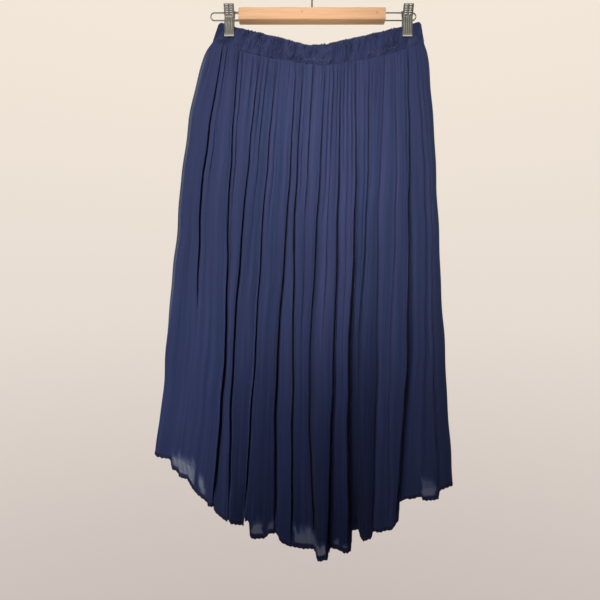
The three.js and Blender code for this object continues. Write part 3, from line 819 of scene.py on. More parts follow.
def minor_creases(creases, fold, place, width, down, rng):
    # The fine gathers inside each fold: narrow troughs that fade on the way down.
    depth = np.zeros((len(down), len(place)))
    fine = section("gather", down)
    for i, c in enumerate(creases):
        here = np.nonzero(fold == i)[0]
        for k in range(1, c.gathers):
            at = (k + rng.uniform(-0.22, 0.22)) / c.gathers
            ends = rng.uniform(0.2, 0.85)
            strength = 0.15 + 1.1 * rng.uniform() ** 2
            drift = rng.uniform(-0.2, 0.2) / c.gathers
            centre = at + drift * np.sin(3 * down + rng.uniform(0, 6))
            away = (place[here][None, :] - centre[:, None]) * width[:, i][:, None]
            lean = rng.uniform(-0.6, 0.6)
            spread = (0.7 + 1.5 * down[:, None]) * rng.uniform(0.7, 1.4)
            spread = spread * np.where(away > 0, 1 + lean, 1 - lean)
            fade = (1 - ease(ends - 0.3, ends, down)) * (1 - 0.6 * down) + 0.1
            depth[:, here] += (FINE_GATHER * strength * fine * fade)[:, None] * tent(away, spread)
        for k in range(2 * c.gathers):
            at = (k + rng.uniform(0.2, 0.8)) / (2 * c.gathers)
            ends = rng.uniform(0.03, 0.16)
            away = (place[here][None, :] - at) * width[:, i][:, None]
            spread = (0.8 + 6 * down[:, None]) * rng.uniform(0.8, 1.3)
            fade = 1 - ease(0, ends, down)
            depth[:, here] += (SHORT_GATHER * rng.uniform(0.3, 1) * fade)[:, None] * tent(away, spread)
    return depth


def crinkle(down, columns, rng):
    # Long soft streaks: random heights at a few stations, smoothed along and a little across.
    knots = rng.normal(size=(CRINKLE_KNOTS, columns))
    for _ in range(2):
        knots = np.apply_along_axis(np.convolve, 1, knots, [0.25, 0.5, 0.25], mode="same")
    wide = rng.normal(size=(SLOW_KNOTS, columns // 5 + 3))
    fine = smooth(np.linspace(0, 1, CRINKLE_KNOTS), knots, down)
    slow = smooth(np.linspace(0, 1, SLOW_KNOTS), wide, down)
    spots = np.linspace(0, wide.shape[1] - 1.001, columns)
    low = spots.astype(int)
    part = spots - low
    part = part * part * (3 - 2 * part)
    slow = slow[:, low] * (1 - part) + slow[:, low + 1] * part
    return FINE_CRINKLE * fine + SLOW_CRINKLE * slow


def side_wobble(down):
    # The sewn side edges are never quite straight. Both panels share them.
    wave = 0.7 * np.sin(31 * down) + 0.5 * np.sin(54 * down + 1.3)
    other = 0.6 * np.sin(27 * down + 2.0) + 0.5 * np.sin(49 * down + 0.4)
    calm = ease(0.03, 0.12, down) * (1 - ease(0.93, 1, down))
    return wave * calm, other * calm


def panel_surface(creases, down, seed, lifts):
    rng = np.random.default_rng(seed)
    fold, place = column_places(creases)
    lines = crease_lines(creases, down)
    cuts = crease_cuts(creases, down)
    left, right = side_edges(down)
    width = ((lines[1:] - lines[:-1]) * (right - left)).T
    v = place[None, :]
    share = lerp(lines[fold].T, lines[fold + 1].T, v)
    wobble = side_wobble(down)
    x = lerp((left + wobble[0])[:, None], (right + wobble[1])[:, None], share)
    fold_width = width[:, fold]
    d = down[:, None]

    lean = rng.uniform(0.35, 0.75, len(creases) + 1) * rng.choice([-1, 1], len(creases) + 1)
    lean[[0, -1]] = 0
    opening = np.array([1.0] + [c.wide for c in creases])

    def bite(crease, along, skew):
        # A broad hollow with a sharp mouth, from one side of its crease.
        reach = (1.0 + 1.9 * d) * skew * lerp(1, opening[crease], ease(0.1, 0.6, d))
        broad = np.maximum(0, 1 - along / BROAD_REACH) ** 2
        sharp = np.maximum(0, 1 - along * fold_width / reach) ** (SHARP_BEND / opening[crease])
        return cuts[crease].T * (BROAD_SHARE * broad + SHARP_SHARE * sharp)

    bite_a = bite(fold, v, 1 + lean[fold])
    bite_b = bite(fold + 1, 1 - v, 1 - lean[fold + 1])

    table = np.array([(c.crest, c.tilt, c.drop, c.slope) for c in creases], dtype=float)
    crest, tilt, drop, slope = table.T
    own = crest[fold] + tilt[fold] * (place - 0.5)
    start = crest - tilt / 2
    finish = crest + tilt / 2
    meet_a = 0.5 * (start[fold] + finish[np.maximum(fold - 1, 0)])
    meet_b = 0.5 * (finish[fold] + start[np.minimum(fold + 1, len(creases) - 1)])
    near_a = np.exp(-((place * fold_width[-1] / STEP_WIDTH) ** 2))
    near_b = np.exp(-(((1 - place) * fold_width[-1] / STEP_WIDTH) ** 2))
    here = own + (meet_a - own) * near_a + (meet_b - own) * near_b
    swell = lerp(section("swell", down)[:, None], here[None, :], d * d)
    hollow = np.minimum(section("hollow", down)[:, None], swell)
    flat = flatness(share)
    fine = minor_creases(creases, fold, place, width, down, rng)
    rumple = crinkle(down, len(place), rng) * ease(0, 0.05, d)
    gather = section("gather", down)[:, None]
    extra = 1.3 * gather * (1 - d) * (bite_a + bite_b)
    rise = hollow + (swell - hollow) * (1 - bite_a - bite_b) + gather - fine - extra
    rise = np.maximum(rise, 0.2 * hollow) * lerp(0.3, 1, ease(0, 0.008, d)) + rumple

    seam_x = lerp(left[0], right[0], share)
    from_edge = np.minimum(x - x[:, :1], x[:, -1:] - x)
    room = LINING_ROOM * np.clip(from_edge / ROOM_EDGE, 0, 1)
    base = SEAM_GAP / 2 + room + bow(seam_x) * (1 - d) ** 2
    y = base + SHELL + np.maximum(flat * rise, 0)
    top = band_z(BAND_FOOT, seam_x) - SEWN_GAP
    hem_share = lerp(lines[fold, -1], lines[fold + 1, -1], place)
    hem_x = lerp(left[-1], right[-1], hem_share)
    lower = (drop[fold] + slope[fold] * (place - 0.5)) * (1 - near_a) * (1 - near_b)
    foot = (hem_z(hem_x) - lower + hem_lift(hem_x, lifts))[None, :]
    return np.stack([x, y, lerp(top, foot, d)], axis=-1)


# %% From surface to shell
def outward_normals(grid):
    along = np.gradient(grid, axis=1)
    downward = np.gradient(grid, axis=0)
    normal = np.cross(along, downward)
    normal *= np.sign(normal[..., 1:2] + 1e-12)
    return unit(normal)


def shell(name, outside, thickness, side, material, uv, marks=None, least=SEAM_GAP / 2):
    # outside has y counted outwards; side is -1 for the front and 1 for the back.
    rows, columns = outside.shape[:2]
    inside = outside - outward_normals(outside) * thickness
    inside[..., 0] = np.clip(inside[..., 0], outside[:, :1, 0], outside[:, -1:, 0])
    inside[..., 1] = np.maximum(inside[..., 1], least)
    both = np.stack([outside, inside]).reshape(-1, 3) * MM
    both[:, 1] *= side
    front = side < 0
    count = rows * columns
    out = grid_quads(rows, columns, 0, not front)
    inn = grid_quads(rows, columns, count, front)
    r = np.arange(rows - 1)
    c = np.arange(columns - 1)
    a = r * columns
    b = a + columns
    left_rim = np.stack([a + count, b + count, b, a], axis=1)
    right_rim = np.stack([a, b, b + count, a + count], axis=1) + columns - 1
    top_rim = np.stack([c + count, c, c + 1, c + 1 + count], axis=1)
    low = (rows - 1) * columns + c
    low_rim = np.stack([low, low + count, low + count + 1, low + 1], axis=1)
    rims = np.concatenate([left_rim, right_rim, top_rim, low_rim])
    if not front:
        rims = rims[:, ::-1]
    faces = np.concatenate([out, inn, rims])
    maps = np.concatenate([uv.reshape(-1, 2)] * 2)
    doubled = {label: np.tile(values.ravel(), 2) for label, values in (marks or {}).items()}
    return mesh_piece(name, both, faces.tolist(), material, maps, doubled)


def cloth_map(grid):
    # Metres of cloth across, measured along the hem, and down, measured along each column.
    u = arc_lengths(grid[-1])
    steps = np.linalg.norm(np.diff(grid, axis=0), axis=2)
    v = np.concatenate([np.zeros((1, grid.shape[1])), np.cumsum(steps, axis=0)])
    return np.stack([np.broadcast_to(u, v.shape), v], axis=-1) * MM


# %% [markdown]
# ## Where one layer shows
# Light comes through at a few places just above the hem, where nothing hangs behind the front,
# and along the side edges past the lining. Each patch runs up from just over the hem to a top that
# may fall away to the right, has soft, uneven sides and its own number of layers. The lower folds
# get painted shade, counted as extra layers, and deep creases more of it, so they look darker all
# the way in.

# %% Sheer patches, in millimetres
Patch = namedtuple("Patch", "left right top fall layers")
PATCH_LOW = 6
FRONT_PATCHES = [
    Patch(-234, -194, -832, 10, 1.0),
    Patch(-187, -178, -866, 0, 1.1),
    Patch(-97, -80, -934, 0, 1.35),
    Patch(-71, -60, -940, 0, 1.7),
    Patch(-30, 6, -945, 4, 1.65),
    Patch(5, 19, -962, 0, 1.2),
    Patch(46, 58, -968, 0, 1.4),
    Patch(34, 42, -960, 0, 1.7),
    Patch(182, 205, -876, 0, 1.45),
]
BACK_PATCHES = [
    Patch(-224, -196, -850, 4, 1.1),
    Patch(-150, -132, -915, 0, 1.4),
    Patch(-84, -62, -944, 0, 1.4),
    Patch(12, 34, -958, 0, 1.6),
    Patch(78, 90, -950, 0, 1.3),
    Patch(178, 200, -893, 0, 1.2),
]
# Painted shade comes from the next five numbers: how far down the folds' plies grow in, and where, from
# which width, how many and how wide extra layers lie in deep creases.
SHADE_PLIES_GROW = (0.45, 0.82)
DEEP_GROW = (0.45, 0.75)
DEEP_FROM = 1.1
CREASE_SHADE_LAYERS = 3.5
DEEP_WIDTH = 5
STREAK_LAYERS = 0.25
STRIP_LAYERS = 0.7
STRIP_WIDTH = 5.5
STRIP_FROM = -150
STRIP_TO = -660
STRIP_FADES_OVER = 90
STRIP_STARTS_OVER = 20


def layers_and_shade_of(grid, creases, patches):
    fold, _ = column_places(creases)
    plies = np.array([c.plies for c in creases])[fold]
    x = grid[..., 0]
    z = grid[..., 2]
    up = z - grid[-1:, :, 2]
    ragged = x + 1.6 * np.sin(z / 6.1) + 1.1 * np.sin(z / 2.7 + 1)
    uneven = z + 1.8 * np.sin(x / 4.3) + 1.2 * np.sin(x / 1.9 + 2)
    # The lower folds take painted shade, counted as plies of cloth and grown in towards the hem.
    layers = lerp(SOLID_LAYERS, plies[None, :], ease(*SHADE_PLIES_GROW, ROWS)[:, None])
    lines = crease_lines(creases, ROWS)
    left, right = side_edges(ROWS)
    # Deep creases, wider than the rest, take extra layers here as painted shade.
    for c, share in zip(creases[:-1], lines[1:-1]):
        away = x - lerp(left, right, share)[:, None]
        more = CREASE_SHADE_LAYERS * max(0, c.wide - DEEP_FROM) * ease(*DEEP_GROW, ROWS)[:, None]
        layers = layers + more * np.exp(-((away / DEEP_WIDTH) ** 2))
    for p in patches:
        wide = ease(p.left - 2, p.left + 1, ragged) * (1 - ease(p.right - 2, p.right + 2, ragged))
        top = p.top - p.fall * np.clip((x - p.left) / (p.right - p.left), 0, 1)
        tall = ease(PATCH_LOW - 1, PATCH_LOW + 1, up) * (1 - ease(-2.5, 2.5, uneven - top))
        streaks = STREAK_LAYERS * np.sin(x / 2.6 + 1.4 * np.sin(z / 17)) ** 2
        layers = lerp(layers, np.minimum(layers, p.layers + streaks), wide * tall)
    tall = ease(STRIP_TO, STRIP_TO + STRIP_FADES_OVER, z)
    tall = tall * (1 - ease(STRIP_FROM - STRIP_STARTS_OVER, STRIP_FROM, z))
    for edge, width in ((x - x[:, :1], STRIP_WIDTH), (x[:, -1:] - x, 0.4 * STRIP_WIDTH)):
        strip = tall * (1 - ease(0.7 * width, 1.4 * width, edge))
        layers = layers - (layers - STRIP_LAYERS) * strip
    return layers


# %% Make both panels
ROWS = row_places()
front_surface = panel_surface(FRONT, ROWS, 11, HEM_LIFTS)
BACK_LIFTS = [HEM_LIFTS[0], HEM_LIFTS[1], (-235, 0), HEM_LIFTS[-1]]
back_surface = panel_surface(BACK, ROWS, 23, BACK_LIFTS)


def make_panel(face, surface, side, creases, patches):
    name = "skirt_" + face
    layers = layers_and_shade_of(surface, creases, patches)
    piece = shell(name, surface, SHELL, side, SHEER_CLOTH, cloth_map(surface), {"layers": layers})
    finished(piece, face + "_panel")
    print(name, "quads:", len(piece.data.polygons))
    return piece


skirt_front = make_panel("front", front_surface, -1, FRONT, FRONT_PATCHES)
skirt_back = make_panel("back", back_surface, 1, BACK, BACK_PATCHES)

# %% [markdown]
# ## The lining
# A plain lining hangs inside the sheer cloth, as opaque skirts of this kind have. It only shows
# behind the hem and, as a darker field, just inside the side edges. It waves gently, so a smooth
# grid with a few sine waves is enough.

# %% Lining
LINING_WALL = 0.5
LINING_INSET = 0.018
LINING_HEM_UP = 24
LINING_TOP_DOWN = 0.8
LINING_WAVES = 5
LINING_FILL = 0.7
LINING_RIPPLE = 0.09
LINING_COLUMNS = 160


def lining_surface(seed):
    rng = np.random.default_rng(seed)
    v = np.linspace(0, 1, LINING_COLUMNS)
    share = lerp(LINING_INSET, 1 - LINING_INSET, v)
    left, right = side_edges([0.0, 1.0])
    seam_x = lerp(left[0], right[0], share)
    top = band_z(BAND_FOOT, seam_x) - LINING_TOP_DOWN
    foot = hem_z(lerp(left[1], right[1], share))
    rows = []
    for down in ROWS[::2]:
        d = np.minimum(down, 1 - LINING_HEM_UP / (top - foot))
        x = lerp(*side_edges(d), share)
        turn = rng.uniform(-0.02, 0.02)
        wave = LINING_FILL + LINING_RIPPLE * np.sin(2 * math.pi * (LINING_WAVES * v + turn))
        sag = bow(seam_x) * (1 - d) ** 2
        y = SEAM_GAP / 2 + LINING_WALL + sag + flatness(share) * section("hollow", d) * wave
        rows.append(np.stack([x, y, lerp(top, foot, d)], axis=-1))
        if (d < down).all():
            break
    return np.stack(rows)


for face, side, seed in (("front", -1, 5), ("back", 1, 6)):
    surface = lining_surface(seed)
    piece = shell("lining_cloth_" + face, surface, LINING_WALL, side, LINING_CLOTH, cloth_map(surface))
    finished(piece, "lining_" + face)
    print(piece.name, "quads:", len(piece.data.polygons))

# %% [markdown]
# ## The waistband
# Elastic inside the band draws its cloth into fine upright ruffles, and rows of stitching across
# the band pinch them. The band hangs between the two clips: its top edge in a shallow V, its foot
# in a U, and the clips press its ends flat. The ruffles are waves in the outer face, uneven and
# lower in the pinched rows. They and the streaks of the cloth lean a little to one side.

# %% Waistband
BAND_WALL = 2.2
BAND_COLUMNS = 640
BAND_ROWS = 33
RUFFLES = 92
RUFFLE_HEIGHT = 2.3
SLANT_KNOTS = 12
SIZE_KNOTS = (7, 70)
EDGE_KNOTS = 26
BAND_PUFF = 0.5
STITCH_ROWS = [0.08, 0.93]
PINCH_SHARE = 0.4
PINCH_REACH = 0.035
CORNER_R = 5
TOP_ROUND = 0.9
NOTCH_X = 25
NOTCH_DEPTH = 1.8
NOTCH_REACH = 3
BAND_SLANT = 0.3


def band_surface(seed, side):
    rng = np.random.default_rng(seed)
    share = np.linspace(0, 1, BAND_COLUMNS)
    down = np.linspace(0, 1, BAND_ROWS)[:, None]
    top_x = lerp(BAND_TOP.left_x, BAND_TOP.right_x, share)
    foot_x = lerp(BAND_FOOT.left_x, BAND_FOOT.right_x, share)
    top_z = band_z(BAND_TOP, top_x)
    foot_z = band_z(BAND_FOOT, foot_x)
    pace = np.cumsum(rng.uniform(0.6, 1.4, RUFFLES + 1))
    pace = (pace - pace[0]) / (pace[-1] - pace[0]) * RUFFLES
    turn = spread_out(pace, share)
    slant = spread_out(rng.uniform(-1.0, 4.5, SLANT_KNOTS), share)
    knots = rng.uniform(0.15, 1.5, SIZE_KNOTS)
    size = smooth(np.linspace(0, 1, len(knots)), knots, down[:, 0])
    size = np.stack([spread_out(row, share) for row in size])
    phase = turn + slant * down + 0.35 * np.sin(2 * math.pi * (1.8 * down + 9 * share))
    wave = np.abs(np.cos(math.pi * phase)) ** 0.6
    pinch = np.ones_like(down)
    for at in STITCH_ROWS:
        pinch = pinch - PINCH_SHARE * np.exp(-(((down - at) / PINCH_REACH) ** 2))
    puff = BAND_PUFF * np.sin(math.pi * np.clip(down, 0, 1)) ** 0.5
    free = np.clip(bow(foot_x) / 1.5, 0.12, 1)
    relief = free * (RUFFLE_HEIGHT * size * wave * pinch + puff * pinch)
    bumps = spread_out(rng.uniform(-0.9, 0.9, EDGE_KNOTS), share)
    notch = NOTCH_DEPTH * np.exp(-(((top_x - NOTCH_X) / NOTCH_REACH) ** 2)) if side < 0 else 0
    soften = 1.2 * np.exp(-(((top_x - BAND_TOP.low_x) / 6) ** 2))
    from_end = np.clip(np.minimum(top_x - BAND_TOP.left_x, BAND_TOP.right_x - top_x), 0, CORNER_R)
    corner = CORNER_R - np.sqrt(CORNER_R**2 - (CORNER_R - from_end) ** 2)
    edge_dip = free * (1.1 * (wave - 0.5) + bumps) + soften - notch - corner
    edge_dip = edge_dip * (1 - ease(0, 0.16, down))
    y = SEAM_GAP / 2 + bow(foot_x) + BAND_WALL + relief
    round_top = 1 - ease(0, 0.05, down)
    y = y - TOP_ROUND * round_top * round_top
    x = lerp(top_x, foot_x, down)
    z = lerp(top_z, foot_z, down) + edge_dip
    return np.stack([np.broadcast_to(x, y.shape), y, z], axis=-1)


band_surfaces = {}
for face, side, seed in (("front", -1, 31), ("back", 1, 32)):
    surface = band_surface(seed, side)
    band_surfaces[side] = surface
    slanted = cloth_map(surface)
    slanted[..., 0] += BAND_SLANT * slanted[..., 1]
    piece = shell("waistband_cloth_" + face, surface, BAND_WALL, side, BAND_CLOTH, slanted)
    finished(piece, "waistband_" + face)
    print(piece.name, "quads:", len(piece.data.polygons))

# %% [markdown]
# ## Hems
# The hem is a narrow rolled edge, darker than the cloth because it is several layers thick, and
# stretched into small scallops by its stitching. It is a flattened tube swept along the panel's
# last row, with bumps along its length.

# %% Sweeping a section along a path
SWEPT_WIDTH = 6


def resample(path, step):
    lengths = arc_lengths(path)
    count = max(2, int(round(lengths[-1] / step)) + 1)
    at = np.linspace(0, lengths[-1], count)
    return by_place(at, lengths, path), at


def by_place(at, places, vectors):
    # The vectors that belong to places in between, each part of them in a straight line.
    return np.stack([np.interp(at, places, vectors[:, k]) for k in range(3)], axis=1)


def sweep(name, path, section_out, section_up, outward, upward, material):
    # section_out and section_up give, for each ring and each point round it, how far it stands
    # along the outward and the upward direction of that ring.
    rings, sides = section_out.shape
    points = (
        path[:, None, :]
        + section_out[..., None] * outward[:, None, :]
        + section_up[..., None] * upward[:, None, :]
    )
    faces = grid_quads(rings, sides, 0, False, around=True).tolist()
    faces.append(list(range(sides)))
    faces.append(list(range((rings - 1) * sides, rings * sides))[::-1])
    round_way = np.linspace(0, SWEPT_WIDTH * MM, sides)
    uv = np.stack(np.broadcast_arrays(arc_lengths(path)[:, None] * MM, round_way[None, :]), axis=-1)
    piece = mesh_piece(name, points.reshape(-1, 3) * MM, faces, material, uv.reshape(-1, 2))
    fix_facing(piece)
    return piece


def fix_facing(piece):
    shape = bmesh.new()
    shape.from_mesh(piece.data)
    bmesh.ops.recalc_face_normals(shape, faces=shape.faces)
    if shape.calc_volume(signed=True) < 0:
        bmesh.ops.reverse_faces(shape, faces=shape.faces)
    shape.to_mesh(piece.data)
    shape.free()


# %% Hems
HEM_STEP = 1.1
HEM_HALF_HEIGHT = 2.9
HEM_HALF_THICK = 0.75
HEM_SIDES = 8
SCALLOP = 7.4
SCALLOP_DEPTH = 1.7
SCALLOP_WANDER = 3.5
HEM_CENTRE_UP = 2.6


def uneven(arc, every, low, high, rng):
    # Random values at even places along a path, with straight runs between them.
    places = np.arange(0, arc[-1] + every, every)
    return np.interp(arc, places, rng.uniform(low, high, len(places)))


def hem_piece(name, surface, side, seed):
    rng = np.random.default_rng(seed)
    normals = outward_normals(surface)
    last = surface[-1] - 0.5 * SHELL * normals[-1]
    path, arc = resample(last, HEM_STEP)
    lengths = arc_lengths(last)
    outward = unit(by_place(arc, lengths, normals[-1]))
    upward = unit(by_place(arc, lengths, surface[-4] - surface[-1]))
    wander = uneven(arc, 30, -SCALLOP_WANDER, SCALLOP_WANDER, rng)
    bump = np.abs(np.sin(math.pi * (arc + wander) / SCALLOP))
    size = uneven(arc, 15, 0.5, 1.3, rng)
    turn = circle(HEM_SIDES)
    thick = HEM_HALF_THICK * (0.8 + 0.35 * bump * size)
    out = thick[:, None] * np.cos(turn)[None, :]
    up = HEM_HALF_HEIGHT * np.sin(turn)[None, :] + HEM_CENTRE_UP + 0 * out
    up = up - (SCALLOP_DEPTH * bump * size)[:, None] * (np.sin(turn)[None, :] < 0)
    facing = np.array([1, side, 1])
    return sweep(name, path * facing, out, up, outward * facing, upward * facing, HEM_CLOTH)


hem_front = hem_piece("hem_front", front_surface, -1, 41)
hem_back = hem_piece("hem_back", back_surface, 1, 42)


# %% Side seams
SEAM_WIDE = 2.4
SEAM_THICK = 0.95
SEAM_STEP = 6
SEAM_SIDES = 10


def side_seam(name, column, sign):
    edge = 0.5 * (front_surface[:, column] * [1, -1, 1] + back_surface[:, column])
    path, arc = resample(edge, SEAM_STEP)
    inward = np.tile([-sign, 0.0, 0.0], (len(path), 1))
    outward = np.tile([0.0, 1.0, 0.0], (len(path), 1))
    turn = circle(SEAM_SIDES)
    ripple = 1 + 0.12 * np.sin(arc * 0.35 + sign) * np.sin(arc * 0.083)
    out = SEAM_THICK * np.sin(turn)[None, :] * ripple[:, None]
    up = 0.5 * SEAM_WIDE * (np.cos(turn) + 0.75)[None, :] + 0 * out
    return sweep(name, path, out, up, outward, inward, HEM_CLOTH)


seam_left = side_seam("side_seam_left", 0, -1)
seam_right = side_seam("side_seam_right", -1, 1)
for piece in (hem_front, hem_back, seam_left, seam_right):
    finished(piece)
print("hems and side seams made")

# %% [markdown]
# ## The wooden bar
# A planed and varnished stick with its long edges rounded and its ends slightly softened. A box
# with two bevels has exactly that shape, and the bevels catch the light as the real edges do.

# %% Wooden bar
BAR_LENGTH = 248
BAR_HEIGHT = 21
BAR_DEPTH = 17.5
BAR_TOP_Z = -82
BAR_LONG_ROUND = 2.6
BAR_END_ROUND = 1.3
BAR_SHARP_FROM = 40


def bevel(shape, edges, offset, segments):
    bmesh.ops.bevel(
        shape, geom=edges, offset=offset * MM, segments=segments, profile=0.5, affect="EDGES"
    )


def span_x(edge):
    return abs(edge.verts[0].co.x - edge.verts[1].co.x)


def at_bar_end(edge):
    return len(edge.link_faces) == 2 and any(abs(f.normal.x) > 0.9 for f in edge.link_faces)


def wooden_bar():
    shape = bmesh.new()
    bmesh.ops.create_cube(shape, size=1)
    bmesh.ops.scale(shape, vec=(BAR_LENGTH * MM, BAR_DEPTH * MM, BAR_HEIGHT * MM), verts=shape.verts)
    bmesh.ops.translate(shape, vec=(0, 0, (BAR_TOP_Z - BAR_HEIGHT / 2) * MM), verts=shape.verts)
    bevel(shape, [e for e in shape.edges if span_x(e) > 1e-4], BAR_LONG_ROUND, 5)
    bevel(shape, [e for e in shape.edges if span_x(e) < 1e-6 and at_bar_end(e)], BAR_END_ROUND, 3)
    bmesh.ops.recalc_face_normals(shape, faces=shape.faces)
    mesh = bpy.data.meshes.new("bar_wood")
    shape.to_mesh(mesh)
    shape.free()
    return placed("bar_wood", mesh, WOOD, BAR_SHARP_FROM)


bar = wooden_bar()
finished(bar, "hanger_bar")
print("bar faces:", len(bar.data.polygons))

# %% [markdown]
# ## Wires
# The hook and the two loops are bent from round wire. Each is a circle swept along its path,
# turning as little as possible on the way, so the wire has no twist.

# %% Round wire
HOOK_WIRE_R = 1.5
HOOK_INSIDE_R = 20
HOOK_IN_BAR = 12
WIRE_R = 1.1
WIRE_LEGS = 13
WIRE_Z = -93.5
WIRE_IN_BAR = 14
CUT_END = 0.6
HOOK_SIDES = 20
WIRE_SIDES = 14
COIL_SIDES = 8
LOOP_ENDS = {"left": -173, "right": 177.5}


def rounded(points, steps):
    # A smooth path through given points.
    points = np.asarray(points, dtype=float)
    at = arc_lengths(points)
    return smooth(at, points, np.linspace(0, at[-1], steps))


def round_wire(name, path, radius, material, sides):
    path = np.asarray(path, dtype=float)
    forward = unit(np.gradient(path, axis=0))
    first = np.cross(forward[0], [0.0, 1.0, 0.0])
    if np.linalg.norm(first) < 0.1:
        first = np.cross(forward[0], [1.0, 0.0, 0.0])
    outward = [unit(first)]
    for way in forward[1:]:
        outward.append(unit(outward[-1] - way * np.dot(outward[-1], way)))
    outward = np.stack(outward)
    upward = np.cross(forward, outward)
    turn = circle(sides)
    out = radius * np.tile(np.cos(turn), (len(path), 1))
    up = radius * np.tile(np.sin(turn), (len(path), 1))
    # The cut ends are slightly rounded.
    out[[0, -1]] *= CUT_END
    up[[0, -1]] *= CUT_END
    return sweep(name, path, out, up, outward, upward, material)


def hook_path():
    r = HOOK_INSIDE_R + HOOK_WIRE_R
    stem_top = -3.2 * HOOK_INSIDE_R
    points = [
        (0, 0, BAR_TOP_Z - HOOK_IN_BAR),
        (0, 0, (BAR_TOP_Z + stem_top) / 2),
        (0, 0, stem_top),
        (0.07 * r, 0, -2.6 * r),
        (0.3 * r, 0, -2.07 * r),
    ]
    for degrees in range(-50, 206, 15):
        turn = math.radians(degrees)
        points.append((r * math.cos(turn), 0, -HOOK_INSIDE_R + r * math.sin(turn)))
    return rounded(points, 150)


def loop_path(end_x):
    way = 1 if end_x > 0 else -1
    r = WIRE_LEGS / 2
    turn_x = end_x - way * (r + WIRE_R)
    root_x = way * (BAR_LENGTH / 2 - WIRE_IN_BAR)
    upper = [(x, 0, WIRE_Z + r) for x in np.linspace(root_x, turn_x, 10)[:-1]]
    bend = [
        (turn_x + way * r * math.sin(t), 0, WIRE_Z + r * math.cos(t))
        for t in np.linspace(0, math.pi, 25)
    ]
    lower = [(x, 0, WIRE_Z - r) for x in np.linspace(turn_x, root_x, 10)[1:]]
    return upper + bend + lower


hook = round_wire("hook_wire", hook_path(), HOOK_WIRE_R, WIRE, HOOK_SIDES)
finished(hook, "hanger_hook")
for label, end_x in LOOP_ENDS.items():
    loop = round_wire("loop_wire_" + label, loop_path(end_x), WIRE_R, WIRE, WIRE_SIDES)
    finished(loop, "wire_" + label)
print("loops end at:", LOOP_ENDS)

# %% Stop coils beside the bar, on the left loop only
COIL_TURNS = 4
COIL_FROM = 1.0
COIL_TO = 6.4
COIL_WIRE_R = 0.45
COIL_R = 1.6


def stop_coil(name, z):
    t = np.linspace(0, COIL_TURNS * 2 * math.pi, COIL_TURNS * 18)
    x = -BAR_LENGTH / 2 - lerp(COIL_FROM, COIL_TO, t / t[-1])
    path = np.stack([x, COIL_R * np.cos(t), z + COIL_R * np.sin(t)], axis=1)
    finished(round_wire(name, path, COIL_WIRE_R, CLIP, COIL_SIDES))


for label, up in (("upper", WIRE_LEGS / 2), ("lower", -WIRE_LEGS / 2)):
    stop_coil("stop_coil_" + label, WIRE_Z + up)

# %% [markdown]
# ## The clips
# Each clip is two jaws of thin pressed steel that rock on a flat spring round the wire loop. The
# finger tabs carry two columns of embossed bumps, the grips below have upright grooves, the sides
# are folded back to stiffen them, and the lip is flared and toothed. A jaw is a grid over its
# side profile: the outer face carries the embossing and a second face lies behind it.

# %% Clip jaws
CLIP_X = {"left": -140, "right": 162}
CLIP_WIDTH = 17
CLIP_SHEET = 0.9
JAW_OUT = [10.2, 7.0, 4.6, 4.1, 5.4, 4.9, 3.4, 3.0, 4.6]
JAW_UP = [15.5, 7.5, 0.5, -3.5, -13.0, -21.0, -29.5, -32.3, -34.5]
TAB_RIM = 0.025
TAB_SHARE = 0.34
BUMP_ROWS = 5
BUMP_HEIGHT = 1.4
GROOVES = 5
GROOVE_DEPTH = 0.8
GRIP_FOOT = 0.95
GRIP_NARROWS = 0.05
FLANGE = 2.3
FLANGE_WIDTH = 1.1
TEETH = 9
TOOTH_DEPTH = 1.1
JAW_COLUMNS = 47
JAW_ROWS = 130
JAW_CLEAR = 2.45
JAW_BACK_CLEAR = 2.4


